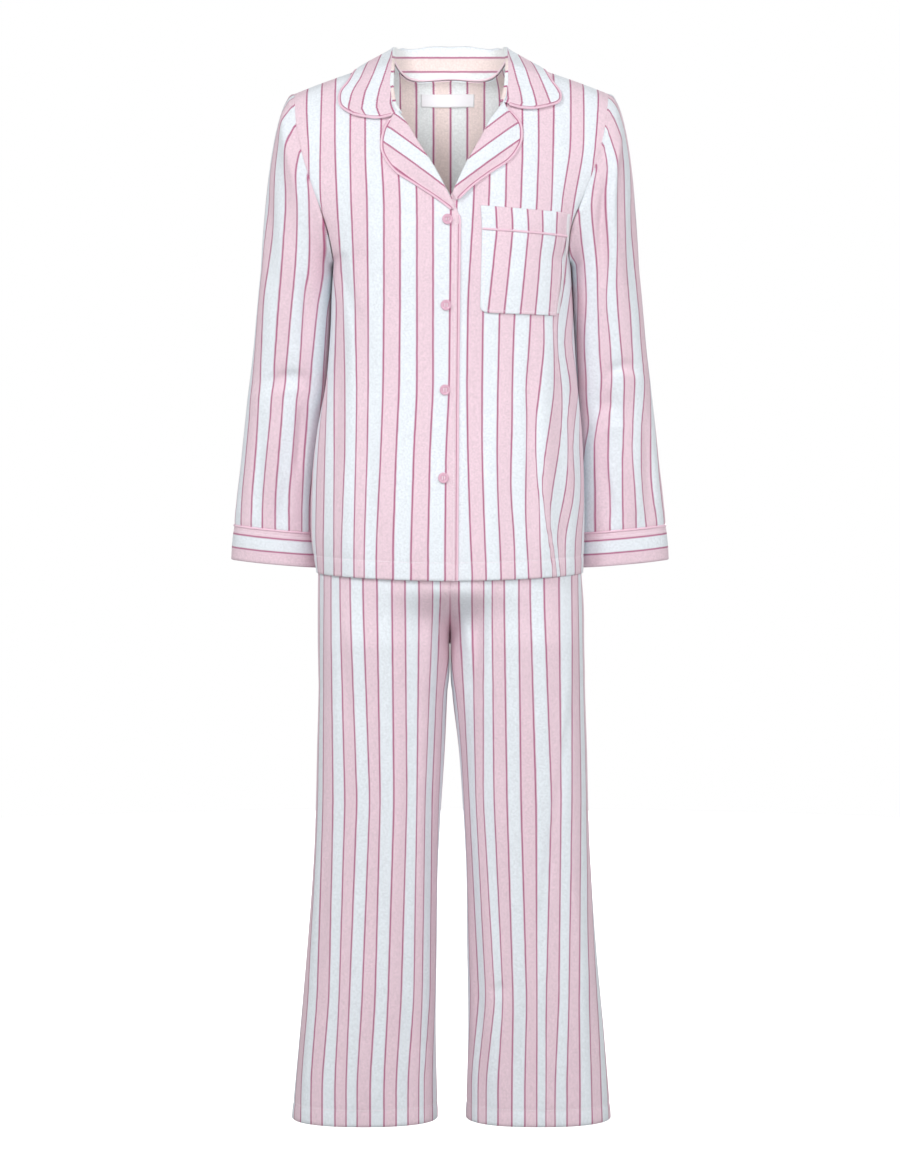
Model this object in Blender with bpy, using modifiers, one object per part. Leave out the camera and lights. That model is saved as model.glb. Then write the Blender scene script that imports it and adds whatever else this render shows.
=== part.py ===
"""Striped pyjama set, open and filled out as if it were worn: a shirt with a turned collar, and trousers.

+X is the wearer's left, -Y the front and +Z up. The origin is in the neck opening at the height of the
shoulders, where the wearer carries the shirt. Sizes and tables are in millimetres; the meshes are made in
metres. Every garment piece is a cloth wall whose outer face follows sections worked out from the tables.
"""

import math
from collections import namedtuple

import bmesh
import bpy
import numpy as np
from mathutils import Matrix, Vector
from mathutils.bvhtree import BVHTree

MM = 0.001

# Cloth, seams and trims
WALL = 1.5  # thickness of a single cloth wall
TRIM_WALL = 1.2  # thickness of the pocket, lapels and label
SEAM = 0.3  # clear space between two pieces along a seam
SEAM_TURN = 0.25  # extra space at a seam where the cloth turns
SHOULDER_TURN = 0.6  # the same at the shoulder seam, where it turns most
LEG_TURN = 0.5  # the same at the seams of the trousers
REST = 1.6  # clear space between a panel and the pocket on it
LABEL_REST = 1.65  # clear space between the back and the label inside it
LAPEL_REST = 0.8  # clear space under the lapels
FALL_REST = 2.8  # clear space under the collar, which spans the rounded shoulder
NECK_GAP = 0.9  # between the neck edge of the panels and the foot of the collar
PIPING_RADIUS = 1.4
PIPING_REST = 0.2  # extra space between piping and the cloth that it edges
BUTTON_RADIUS = 7.0
BUTTON_HEIGHT = 3.0
BUTTON_SIDES = 20
BUTTON_REST = 0.4  # clear space under a button
BUTTON_TAPER = 0.94  # outer radius of the button's face
BUTTON_RIM = 0.3  # width of its raised rim, as a share of the radius
BUTTON_HOLLOW = 0.75  # depth of its face below the rim
UNDERLAP = 2.6  # how far the lower front lies behind the upper one
UNDERLAP_FLAT, UNDERLAP_END = 20.0, 44.0  # where this space begins to close, and has closed
ARMHOLE_GAP = 1.3  # between the panels and the start of a sleeve
SLEEVE_CLEARANCE = 2.0  # between a sleeve and the side of the shirt

# Cells across and along each piece
FRONT_CELLS = 10
BACK_CELLS = 20
BODY_CELLS_BELOW_ARM = 14
BODY_CELLS_AT_ARM = 10
SLEEVE_CELLS_ROUND = 18
SLEEVE_CELLS_CAP = 7
SLEEVE_CELLS_DOWN = 12
LEG_CELLS_ROUND = 10
LEG_CELLS_DOWN = 14
COLLAR_CELLS = 28

FRONT, BACK = -1.0, 1.0
RIGHT, LEFT = -1.0, 1.0  # the wearer's right is at -X

# Sections of the shirt from the hem up to the shoulder seam. A section has its height at the middle of the
# front, the middle of the back and the side; its half widths; its depths at the middle; the depth of its end
# (a side seam at 0, then the armhole); and the two powers of its curve.
Section = namedtuple("Section", "z_front z_back z_side right left front back end_front end_back power turn")
SHIRT = (
    Section(-653, -653, -648, 180.0, 179.5, 121, 118, 0, 0, 2.3, 2.3),
    Section(-600, -600, -598, 187.0, 181.0, 122, 120, 0, 0, 2.3, 2.3),
    Section(-526, -526, -526, 186.0, 180.5, 121, 119, 0, 0, 2.3, 2.3),
    Section(-460, -460, -460, 179.0, 177.5, 119, 114, 0, 0, 2.3, 2.3),
    Section(-393, -393, -393, 166.5, 171.0, 117, 109, 0, 0, 2.35, 2.35),
    Section(-325, -325, -325, 160.5, 166.5, 117, 108, 0, 0, 2.45, 2.45),
    Section(-275, -275, -275, 158.5, 163.5, 118, 109, 0, 0, 2.5, 2.5),
    Section(-236, -236, -236, 156.0, 161.0, 118.5, 110, 0, 0, 2.5, 2.4),
    Section(-178, -190, -222, 156.5, 157.5, 115, 110, 38, 40, 2.5, 1.9),
    Section(-120, -145, -185, 165.0, 162.0, 106, 107, 58, 60, 2.4, 1.5),
    Section(-68, -100, -140, 181.0, 180.5, 90, 101, 63, 66, 2.4, 1.25),
    Section(-20, -56, -95, 195.0, 197.0, 70, 92, 60, 64, 2.3, 1.15),
    Section(20, -16, -52, 204.0, 207.0, 48, 82, 48, 53, 2.2, 1.1),
    Section(43, 18, -20, 207.5, 211.0, 24, 66, 27, 33, 2.1, 1.05),
    Section(50, 50, -7, 209.0, 213.0, -4, 4, -4, 4, 2.0, 1.0),
)
UNDERARM = 7  # the section where the sleeves begin
LAPEL_BREAK = 11  # the section above which both fronts lie at one depth
SHOULDER = len(SHIRT) - 1
BACK_NECK = 13.0  # the section that the neck seam follows behind the neck
SHOULDER_FALL = 1.5  # power of the fall in height from the middle to the side

# The inner edge of each front: straight up from the hem, the fold of the lapel, then the neck seam
Edge = namedtuple("Edge", "z x")
EDGE_RIGHT = (
    Edge(-653, 8.0), Edge(-417, 9.1), Edge(-287, 10.4), Edge(-175, 11.7), Edge(-152, 1.0), Edge(-111, -21),
    Edge(-76, -44), Edge(-57, -55), Edge(-31, -73), Edge(-10, -77), Edge(60, -77),
)
EDGE_LEFT = (
    Edge(-653, -23.5), Edge(-417, -22), Edge(-287, -20.5), Edge(-188, -19), Edge(-150, 1.3), Edge(-106, 21.4),
    Edge(-66, 44), Edge(-49, 52), Edge(-23, 70), Edge(-5, 74.5), Edge(18, 77), Edge(60, 77),
)
EDGE_BREAK = 3  # the row of the right edge where the lapel begins
NECK_HALF_WIDTH = 77.0

# Soft folds of the fronts and back: a ridge (or, below zero, a trough) along a line seen from the front
Fold = namedtuple("Fold", "face x_top z_top x_low z_low width height")
SHIRT_FOLDS = (
    Fold(FRONT, 126, -345, 120, -640, 15, 4.5),
    Fold(FRONT, 146, -330, 150, -640, 11, -4.0),
    Fold(FRONT, -150, -225, -112, -300, 14, 3.0),
    Fold(FRONT, -128, -400, -138, -640, 15, 3.5),
    Fold(FRONT, -60, -172, -10, -186, 8, 2.0),
    Fold(BACK, -120, -330, -126, -640, 17, 4.0),
    Fold(BACK, 70, -380, 84, -640, 20, 4.0),
    Fold(BACK, 128, -250, 138, -560, 15, -3.5),
    Fold(BACK, -30, -400, -24, -590, 22, -3.0),
)

# Sections of a sleeve below the underarm: height, outer side, half depth, middle of the depth, and how much
# higher the outer side is than the middle. The inner side keeps clear of the shirt.
SleeveSection = namedtuple("SleeveSection", "z outer depth y rise")
SLEEVE = (
    SleeveSection(-240, 254.0, 58, 8, 0.0),
    SleeveSection(-300, 260.0, 54, 12, 2.0),
    SleeveSection(-350, 265.0, 51, 17, 3.0),
    SleeveSection(-403, 271.5, 48, 22, 4.0),
    SleeveSection(-457, 278.0, 45, 26, 5.0),
    SleeveSection(-511, 284.0, 43, 30, 5.5),
    SleeveSection(-565, 290.5, 41, 33, 5.5),
    SleeveSection(-592, 293.5, 40, 35, 5.5),
    SleeveSection(-640, 298.0, 40, 37, 5.5),
)
CUFF_SEAM = -592.0
CUFF_END = -637.5
CAP_REACH = 82.0  # how strongly the sleeve's head stands out from the shoulder
CAP_DROP = 30.0  # and how soon it turns down there
CAP_LEAVE, CAP_ARRIVE = 6.0, 8.0  # the same at the underarm, at both ends of the head
CAP_LEAN = 0.05  # how much the head leans out where it joins the sleeve

# Folds of the sleeves: where round the sleeve (0 at the outer side, 90 at the front), height, and sizes
SleeveFold = namedtuple("SleeveFold", "side turn z turn_width z_width height")
SLEEVE_FOLDS = (
    SleeveFold(RIGHT, 118, -150, 20, 70, 4.0),
    SleeveFold(RIGHT, 95, -395, 30, 18, -4.5),
    SleeveFold(RIGHT, 128, -455, 18, 45, -3.5),
    SleeveFold(RIGHT, 40, -420, 26, 22, 2.5),
    SleeveFold(RIGHT, -90, -380, 40, 20, -3.5),
    SleeveFold(LEFT, 112, -150, 18, 70, 3.5),
    SleeveFold(LEFT, 120, -415, 26, 17, -5.0),
    SleeveFold(LEFT, 85, -450, 24, 24, -3.0),
    SleeveFold(LEFT, 50, -385, 26, 22, 2.5),
    SleeveFold(LEFT, -90, -400, 40, 20, -3.5),
)

# The collar from its front end to the middle of the back. Each station has the place of its foot on the neck
# seam (a height on the front, then a distance from the middle on the back), its stand, the lean of its fold,
# the outer edge of its fall, and how far the fall dips between them.
Station = namedtuple("Station", "on_front foot_right foot_left stand lean_x lean_y edge_x edge_right edge_left dip")
COLLAR = (
    Station(True, -31, -22, 6.0, -1.0, -1.0, 133, -43.5, -31.0, 9.0),
    Station(True, -20, -12, 7.5, -1.0, -1.0, 146.5, -33.0, -27.0, 4.0),
    Station(True, -4, 1, 10.0, -0.5, -1.0, 148, -13.5, -14.0, 0.0),
    Station(True, 16, 18, 13.5, 0.0, 0.0, 138, 3.0, 5.0, -2.0),
    Station(False, 76.9, 76.9, 16.5, 1.0, 1.0, 124, 26.0, 26.0, -5.0),
    Station(False, 74, 74, 22.8, 0.0, 0.5, 117, 8.0, 8.0, -6.0),
    Station(False, 62, 62, 38.0, -2.0, -1.5, 101, -2.0, -2.0, -6.0),
    Station(False, 32, 32, 44.0, 0.0, -3.0, 56, -12.0, -12.0, -4.0),
    Station(False, 0, 0, 42.0, 0.0, -3.0, 0, -14.0, -14.0, -4.0),
)
RIDGE_STATION = 4  # the station whose edge lies on the shoulder seam
LAST_FRONT_STATION = 3
COLLAR_FOLD = 2.6  # half the width of the fold at the top of the collar
FOLD_DROP = 2.2  # how far both its sides lie below the crest
STAND_MIDDLE, STAND_BULGE = 0.55, 1.4  # a point of the stand, and how far it curves inwards there
FALL_CELLS = 4

# The turned lapels from the notch down: the fold and the outer edge, as seen from the front
LapelRow = namedtuple("LapelRow", "fold_x fold_z edge_x edge_z")
LAPEL_RIGHT = (
    LapelRow(-71.5, -34.5, -76.5, -47), LapelRow(-62.5, -46, -84.5, -62), LapelRow(-53.5, -59, -88, -79),
    LapelRow(-43.5, -76.5, -85.5, -95), LapelRow(-32.5, -94, -70.5, -116.5), LapelRow(-21, -112, -45.5, -133.5),
    LapelRow(-10, -132, -20.5, -150), LapelRow(0, -151.5, -2, -163.5), LapelRow(5.5, -162.5, 3.5, -168.5),
)
LAPEL_LEFT = (
    LapelRow(70, -26, 75, -34.5), LapelRow(61, -38, 89.5, -52), LapelRow(52, -50.5, 92.5, -66),
    LapelRow(44.5, -66.5, 90, -82), LapelRow(33.5, -86, 76.5, -101.5), LapelRow(22, -106.5, 53.5, -117.5),
    LapelRow(12, -127, 30, -135), LapelRow(6.5, -139, 16, -148),
)
LAPEL_CELLS = 4
LAPEL_CELLS_DOWN = 12
LAPEL_ROLL = 4.0  # how far a lapel stands out where it is at least this wide
LAPEL_WIDE = 30.0
ROLL_START = 0.12  # how far round its roll the fold lies

# Chest pocket as seen from the front: its corners, the band's lower edge, and the round lower corner
POCKET_TOP = (40.5, -164.0, 154.0, -171.0)
POCKET_BAND = (42.0, -194.0, 152.0, -200.5)
POCKET_LOW = (39.5, -303.0, 139.0, -305.5)
POCKET_CELLS = 10
POCKET_CELLS_DOWN = 6
BAND_CELLS_DOWN = 2
POCKET_ROUND = 3.6  # how far the corner point moves in

LABEL_LEFT, LABEL_RIGHT = -39.5, 33.0
LABEL_TOP, LABEL_LOW = -1.0, -17.5
LABEL_CELLS = 6
LABEL_WALL = 1.0

Button = namedtuple("Button", "x z")
BUTTONS = (Button(-3.3, -181.5), Button(-5.2, -293.0), Button(-6.5, -403.5), Button(-8.5, -518.5))

# Trousers: sections round both hips, then round each leg
HipSection = namedtuple("HipSection", "z right left front back")
HIPS = (
    HipSection(-470, 147.0, 147.0, 101, 97),
    HipSection(-530, 164.0, 164.0, 109, 105),
    HipSection(-590, 174.5, 173.5, 114, 110),
    HipSection(-648, 177.6, 177.1, 115, 112),
    HipSection(-700, 178.4, 180.6, 113, 112),
    HipSection(-750, 178.6, 181.6, 108, 109),
)
LegSection = namedtuple("LegSection", "z right_outer right_inner left_outer left_inner front back")
LEGS = (
    LegSection(-640, 178.0, 0.4, 180.5, 0.4, 108, 112),
    LegSection(-740, 178.4, 0.4, 181.1, 0.4, 98, 101),
    LegSection(-808, 177.6, 4.1, 182.6, 2.7, 88, 91),
    LegSection(-890, 179.9, 7.0, 185.4, 12.0, 80, 82),
    LegSection(-971, 182.0, 12.2, 187.5, 17.6, 74, 75),
    LegSection(-1053, 186.0, 16.3, 191.4, 21.7, 70, 70),
    LegSection(-1163, 194.4, 17.7, 199.2, 23.1, 67, 66),
    LegSection(-1273, 204.3, 19.1, 209.5, 24.5, 66, 64),
    LegSection(-1391, 215.5, 16.5, 219.2, 21.5, 66, 64),
)
TROUSER_TOP = -470.0
TROUSER_HEM = -1391.0
CROTCH_START, CROTCH_END = -662.0, -748.0  # where the hips begin to part, and have become legs
HIP_CELLS_DOWN = CROTCH_CELLS_DOWN = 5
LEG_POWER = 2.3
LEG_MIDDLE = 95.0  # about the middle of each leg
SEAT_EDGE = 0.3  # from the middle to the edge of each half of the trousers
LEG_FOLDS = (
    Fold(FRONT, -30, -700, -34, -1120, 9, 3.5),
    Fold(FRONT, -48, -740, -54, -1010, 9, -3.0),
    Fold(FRONT, 34, -690, 26, -820, 9, -4.5),
    Fold(FRONT, 165, -720, 118, -1240, 10, 3.5),
    Fold(FRONT, 142, -840, 132, -1180, 12, -3.5),
    Fold(FRONT, 50, -1060, 62, -1370, 10, 3.0),
    Fold(BACK, -100, -700, -118, -1250, 16, 4.0),
    Fold(BACK, 96, -720, 112, -1280, 16, 4.0),
    Fold(BACK, -55, -760, -45, -1000, 13, -3.5),
    Fold(BACK, 52, -780, 48, -1020, 13, -3.5),
)
WAISTBAND_TOP, WAISTBAND_LOW = -432.0, -469.6
WAISTBAND_GATHERS = 24
WAISTBAND_WAVE = 1.4
WAISTBAND_INSET = 1.5  # how far it lies inside the top of the panels

Paint = namedtuple("Paint", "name colour roughness")
STRIPED_COTTON = Paint("striped_cotton", (0.86, 0.72, 0.78, 1.0), 0.9)
PINK_PIPING = Paint("pink_piping", (0.78, 0.50, 0.63, 1.0), 0.6)
PINK_BUTTON = Paint("pink_button", (0.72, 0.38, 0.52, 1.0), 0.3)
WHITE_SATIN = Paint("white_satin", (0.88, 0.88, 0.88, 1.0), 0.35)


# ---------------------------------------------------------------------------------------- curves and grids


def smooth_row(table, place):
    """One row of a table, at a place between its rows, on a curve that passes through every row."""
    values = np.array(table, float)
    place = min(max(place, 0.0), len(values) - 1.0)
    low = min(int(place), len(values) - 2)
    t = place - low
    start, end = values[low], values[low + 1]
    before = values[low - 1] if low > 0 else 2 * start - end
    after = values[low + 2] if low + 2 < len(values) else 2 * end - start
    mixed = (
        (2 * t**3 - 3 * t**2 + 1) * start
        + (t**3 - 2 * t**2 + t) * (end - before) / 2
        + (3 * t**2 - 2 * t**3) * end
        + (t**3 - t**2) * (after - start) / 2
    )
    return type(table[0])(*mixed.tolist())


def place_at(table, z):
    """The place between a table's rows where the height is z."""
    heights = [row.z for row in table]
    return float(np.interp(-z, [-h for h in heights], range(len(heights))))


def spaced(points, cells):
    """Points at even steps along a line of points."""
    points = np.asarray(points, float)
    steps = np.linalg.norm(np.diff(points, axis=0), axis=1)
    run = np.concatenate([[0], np.cumsum(steps)])
    return np.stack([np.interp(np.linspace(0, run[-1], cells + 1), run, points[:, k]) for k in range(3)], axis=1)


def ease(t):
    """0 to 1, with no slope at either end."""
    t = min(max(t, 0.0), 1.0)
    return t * t * (3 - 2 * t)


def fold_height(folds, face, x, z):
    """How far the folds push a panel outwards at a point seen from the front."""
    height = 0.0
    for fold in folds:
        if fold.face != face:
            continue
        line = np.array([fold.x_low - fold.x_top, fold.z_low - fold.z_top], float)
        length = np.linalg.norm(line)
        along = ((x - fold.x_top) * line[0] + (z - fold.z_top) * line[1]) / length**2
        across = ((x - fold.x_top) * line[1] - (z - fold.z_top) * line[0]) / length
        fade = np.exp(-((np.clip(np.abs(along - 0.5) - 0.3, 0, None) / 0.22) ** 2))
        height = height + fold.height * fade * np.exp(-((across / fold.width) ** 2))
    return height


def inset(grid, edge, distance):
    """Moves one edge of a grid inwards along the cloth."""
    near = {"low": (0, 1), "high": (-1, -2)}
    side, end = edge.split("_")
    rim, inner = near[end]
    lines = grid if side == "row" else grid.transpose(1, 0, 2)
    step = lines[inner] - lines[rim]
    lines[rim] += step / np.linalg.norm(step, axis=1, keepdims=True) * distance


def beside(edge, inner, distance):
    """A line beside an edge of a piece, that far out from it in the cloth's own plane."""
    along = np.gradient(edge, axis=0)
    along /= np.linalg.norm(along, axis=1, keepdims=True)
    out = edge - inner
    out = out - (out * along).sum(axis=1, keepdims=True) * along
    return edge + out / np.linalg.norm(out, axis=1, keepdims=True) * distance


# ------------------------------------------------------------------------------------------- Blender objects


def painted(paint):
    """The material of a paint, made once."""
    material = bpy.data.materials.get(paint.name)
    if material is None:
        material = bpy.data.materials.new(paint.name)
        material.use_nodes = True
        shader = material.node_tree.nodes["Principled BSDF"]
        shader.inputs["Base Color"].default_value = paint.colour
        shader.inputs["Roughness"].default_value = paint.roughness
    return material


def add_object(name, data, paint):
    """Links a mesh or curve as a named object of the set."""
    data.materials.append(painted(paint))
    item = bpy.data.objects.new(name, data)
    bpy.data.collections["pyjama_set"].objects.link(item)
    return item


def shell(name, grid, cores, paint=STRIPED_COTTON, closed=False, wall=WALL, offset=-1.0):
    """A cloth wall on a grid of points. Its outer face looks away from the core point of each row."""
    rows, columns = grid.shape[:2]
    around = columns if closed else columns - 1
    mesh = bpy.data.meshes.new(name)
    made = bmesh.new()
    corners = [[made.verts.new(Vector(point) * MM) for point in row] for row in grid]
    outward = 0.0
    for i in range(rows - 1):
        core = Vector(cores[i]) * MM
        for j in range(around):
            k = (j + 1) % columns
            face = made.faces.new((corners[i][j], corners[i][k], corners[i + 1][k], corners[i + 1][j]))
            face.smooth = True
            face.normal_update()
            outward += face.calc_area() * face.normal.dot((face.calc_center_median() - core).normalized())
    if outward < 0:
        bmesh.ops.reverse_faces(made, faces=made.faces[:])
    made.to_mesh(mesh)
    made.free()
    item = add_object(name, mesh, paint)
    solid = item.modifiers.new("wall", "SOLIDIFY")
    solid.thickness = wall * MM
    solid.offset = offset
    solid.use_even_offset = True
    solid.use_quality_normals = True
    return item


def piping(name, points, closed=False, radius=PIPING_RADIUS):
    """A corded piping along a line of points."""
    curve = bpy.data.curves.new(name, "CURVE")
    curve.dimensions = "3D"
    curve.bevel_depth = radius * MM
    curve.bevel_resolution = 1
    curve.use_fill_caps = True
    spline = curve.splines.new("POLY")
    spline.points.add(len(points) - 1)
    for target, point in zip(spline.points, points):
        target.co = (*(Vector(point) * MM), 1.0)
    spline.use_cyclic_u = closed
    return add_object(name, curve, PINK_PIPING)


def upright_cores(grid, x=0.0, y=0.0):
    """A core line straight up through a piece."""
    return [(x, y, float(row[:, 2].mean())) for row in grid]


def ring_cores(grid):
    """The middle of each ring of a tube."""
    return [tuple(row.mean(axis=0)) for row in grid]


# ------------------------------------------------------------------------------------------ shirt: its surface


def shirt_points(face, place, spread, folds=True):
    """Points of the shirt's outer face on one section; spread runs from -1 at the wearer's right to 1."""
    row = smooth_row(SHIRT, place)
    spread = np.asarray(spread, float)
    size = np.abs(np.clip(spread, -1, 1))
    half = np.where(spread < 0, row.right, row.left)
    middle, end, z_middle = (
        (row.front, row.end_front, row.z_front) if face == FRONT else (row.back, row.end_back, row.z_back)
    )
    x = spread * half
    z = z_middle + (row.z_side - z_middle) * size**SHOULDER_FALL
    if place <= UNDERARM:
        end = 0.0
    depth = end + (middle - end) * (1 - size**row.power) ** (1 / row.turn)
    if folds:
        depth = depth + fold_height(SHIRT_FOLDS, face, x, z) * (1 - size**6)
    return np.stack([x, face * depth, z], axis=-1)


def shirt_at(face, x, z):
    """The point of the shirt's outer face that lies at x and z, seen from the front or the back."""
    low, high = 0.0, float(SHOULDER)
    for _ in range(20):
        place = (low + high) / 2
        row = smooth_row(SHIRT, place)
        spread = max(-1.0, min(1.0, x / (row.right if x < 0 else row.left)))
        point = shirt_points(face, place, [spread])[0]
        low, high = (place, high) if point[2] < z else (low, place)
    return Vector(point)


def shirt_out(face, x, z):
    """The outward direction of the shirt at x and z."""
    step = 3.0
    across = shirt_at(face, x + step, z) - shirt_at(face, x - step, z)
    up = shirt_at(face, x, z + step) - shirt_at(face, x, z - step)
    out = across.cross(up).normalized()
    return out if out.y * face > 0 else -out


def over_shirt(face, x, z, lift):
    """A point that lies a given height over the shirt."""
    return shirt_at(face, x, z) + shirt_out(face, x, z) * lift


def edge_spread(edge, place):
    """Where a front's inner edge crosses a section."""
    heights, xs = [row.z for row in edge], [row.x for row in edge]
    row = smooth_row(SHIRT, place)
    z = row.z_front
    for _ in range(12):
        x = float(np.interp(z, heights, xs))
        spread = x / (row.right if x < 0 else row.left)
        z = row.z_front + (row.z_side - row.z_front) * abs(spread) ** SHOULDER_FALL
    return spread


def body_places():
    """The sections at which the shirt's panels have their rows."""
    below = np.linspace(0, UNDERARM, BODY_CELLS_BELOW_ARM + 1)
    at_arm = np.linspace(UNDERARM, SHOULDER, BODY_CELLS_AT_ARM + 1)[1:]
    return list(below) + list(at_arm)


def front_grid(side, edge, underlap):
    """The points of one front, from its inner edge to its side seam and armhole."""
    rows = []
    for place in body_places():
        turn = np.linspace(0, math.pi / 2, 90)
        start = edge_spread(edge, place)
        spread = start + (side - start) * np.sin(turn)
        line = shirt_points(FRONT, place, spread)
        if place < LAPEL_BREAK:
            reach = (UNDERLAP_END - np.abs(line[:, 0])) / (UNDERLAP_END - UNDERLAP_FLAT)
            line[:, 1] += underlap * np.array([ease(share) for share in reach])
        rows.append(spaced(line, FRONT_CELLS))
    return np.array(rows)


def back_neck_place(x):
    """The section at which the neck seam lies behind the neck."""
    return BACK_NECK + (SHOULDER - BACK_NECK) * min(abs(x) / NECK_HALF_WIDTH, 1.0) ** 6


def back_grid():
    """The points of the back, from the right side seam to the left."""
    rows = []
    half = BACK_CELLS // 2
    shoulder = smooth_row(SHIRT, SHOULDER)
    neck_cells = half // 2
    top_x = np.concatenate([
        np.linspace(-shoulder.right, -NECK_HALF_WIDTH, half - neck_cells + 1),
        NECK_HALF_WIDTH * np.sin(np.linspace(-math.pi / 2, math.pi / 2, 2 * neck_cells + 1))[1:-1],
        np.linspace(NECK_HALF_WIDTH, shoulder.left, half - neck_cells + 1),
    ])
    top_spread = np.where(top_x < 0, top_x / shoulder.right, top_x / shoulder.left)
    turn = np.linspace(-math.pi / 2, math.pi / 2, 181)
    for place in body_places():
        line = shirt_points(BACK, min(place, UNDERARM), np.sin(turn))
        even = spaced(line, BACK_CELLS)
        row = smooth_row(SHIRT, min(place, UNDERARM))
        spread = np.where(even[:, 0] < 0, even[:, 0] / row.right, even[:, 0] / row.left)
        if place <= UNDERARM:
            rows.append(even)
            continue
        share = (place - UNDERARM) / (SHOULDER - UNDERARM)
        spread = spread + (top_spread - spread) * share
        tops = [back_neck_place(x) for x in top_x]
        rows.append(np.array([
            shirt_points(BACK, UNDERARM + share * (top - UNDERARM), [s])[0] for s, top in zip(spread, tops)
        ]))
    return np.array(rows)


def shirt_skin():
    """A search tree over the fronts and the back, with their faces looking outwards."""
    points, faces = [], []
    for grid, flip in (
        (front_grid(RIGHT, EDGE_RIGHT, 0.0), False),
        (front_grid(LEFT, EDGE_LEFT, UNDERLAP), True),
        (back_grid(), False),
    ):
        rows, columns = grid.shape[:2]
        first = len(points)
        points += [Vector(point) for point in grid.reshape(-1, 3)]
        for i in range(rows - 1):
            for j in range(columns - 1):
                a = first + i * columns + j
                face = (a, a + 1, a + columns + 1, a + columns)
                faces.append(face if flip else face[::-1])
    return BVHTree.FromPolygons(points, faces)


def kept_over(skin, point, lift):
    """The point, pushed out where it is less than the lift over the shirt."""
    for _ in range(3):
        near, normal, _, _ = skin.find_nearest(point)
        height = (point - near).dot(normal)
        if height >= lift - 0.01:
            break
        point = point + normal * (lift - height)
    return point


# --------------------------------------------------------------------------------------- shirt: its pieces


def side_x(side, z, y):
    """How far out the side of the shirt is at a height and depth below the underarm."""
    heights = [row.z_side for row in SHIRT[: UNDERARM + 1]]
    row = smooth_row(SHIRT, float(np.interp(z, heights, range(UNDERARM + 1))))
    depth = row.front if y < 0 else row.back
    share = (1 - (abs(y) / depth) ** row.turn) ** (1 / row.power)
    return (row.right if side == RIGHT else row.left) * share


def sleeve_ring(side, z, turns):
    """A ring of points round a sleeve below the underarm."""
    row = smooth_row(SLEEVE, place_at(SLEEVE, z))
    inner = side_x(side, max(z, -640.0), row.y) + SLEEVE_CLEARANCE
    middle, half = (row.outer + inner) / 2, (row.outer - inner) / 2
    push = sum(
        fold.height
        * np.exp(-(((np.degrees(turns) - fold.turn + 180) % 360 - 180) / fold.turn_width) ** 2)
        * math.exp(-(((z - fold.z) / fold.z_width) ** 2))
        for fold in SLEEVE_FOLDS
        if fold.side == side
    )
    x = middle + (half + push * np.abs(np.cos(turns))) * np.cos(turns)
    y = row.y - (row.depth + push * np.abs(np.sin(turns))) * np.sin(turns)
    return np.stack([side * x, y, z + row.rise * np.cos(turns)], axis=-1)


def armhole_point(side, turn):
    """The armhole seam, from the shoulder at 0 through the front to the underarm at half a turn."""
    face = FRONT if math.sin(turn) >= 0 else BACK
    share = abs(math.remainder(turn, 2 * math.pi)) / math.pi
    return shirt_points(face, SHOULDER - share * (SHOULDER - UNDERARM), [side], folds=False)[0]


def sleeve_grid(side):
    """The points of a sleeve: a head that fans out from the armhole, then rings down to the cuff seam."""
    turns = np.linspace(0, 2 * math.pi, SLEEVE_CELLS_ROUND, endpoint=False)
    top = sleeve_ring(side, SLEEVE[0].z, turns)
    holes = np.array([armhole_point(side, turn) for turn in turns]) + (side * ARMHOLE_GAP, 0, 0)
    rows = []
    for t in np.linspace(0, 1, SLEEVE_CELLS_CAP + 1):
        head = (1 + np.cos(turns)) / 2
        fall = holes[:, 2] - top[:, 2]
        leave = np.stack([side * CAP_REACH * head, 0 * head, -CAP_DROP * head - CAP_LEAVE], axis=-1)
        arrive = np.stack([CAP_LEAN * side * fall, 0 * head, -fall - CAP_ARRIVE], axis=-1)
        rows.append(
            (2 * t**3 - 3 * t**2 + 1) * holes
            + (t**3 - 2 * t**2 + t) * leave
            + (3 * t**2 - 2 * t**3) * top
            + (t**3 - t**2) * arrive
        )
    for z in np.linspace(SLEEVE[0].z, CUFF_SEAM, SLEEVE_CELLS_DOWN + 1)[1:]:
        rows.append(sleeve_ring(side, z, turns))
    return np.array(rows)


def make_sleeve(side, name):
    """A sleeve, its cuff and the piping between them."""
    grid = sleeve_grid(side)
    inset(grid, "row_high", PIPING_RADIUS + SEAM)
    shell(f"sleeve_{name}", grid, ring_cores(grid), closed=True)
    turns = np.linspace(0, 2 * math.pi, SLEEVE_CELLS_ROUND, endpoint=False)
    cuff = np.array([sleeve_ring(side, z, turns) for z in np.linspace(CUFF_SEAM, CUFF_END, 3)])
    inset(cuff, "row_low", PIPING_RADIUS + SEAM)
    shell(f"cuff_{name}", cuff, ring_cores(cuff), closed=True)
    seam = sleeve_ring(side, CUFF_SEAM, turns)
    middle = seam.mean(axis=0)
    inward = (middle - seam) / np.linalg.norm(middle - seam, axis=1, keepdims=True)
    piping(f"piping_cuff_{name}", seam + inward * WALL / 2, closed=True)


def neck_foot(side, place):
    """A point of the neck seam, for a place between the collar's stations."""
    right = side == RIGHT
    feet = [row.foot_right if right else row.foot_left for row in COLLAR]
    half = SHIRT[SHOULDER].right if right else SHIRT[SHOULDER].left
    if place >= RIDGE_STATION:
        x = float(np.interp(place, range(len(feet)), feet))
        return Vector(shirt_points(BACK, back_neck_place(x), [side * x / half])[0])
    edge = EDGE_RIGHT if right else EDGE_LEFT
    z = float(np.interp(place, range(LAST_FRONT_STATION + 1), feet[: LAST_FRONT_STATION + 1]))
    foot = shirt_at(FRONT, float(np.interp(z, [row.z for row in edge], [row.x for row in edge])), z)
    ridge = Vector(shirt_points(FRONT, SHOULDER, [side * NECK_HALF_WIDTH / half])[0])
    return foot.lerp(ridge, max(place - LAST_FRONT_STATION, 0.0))


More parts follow.
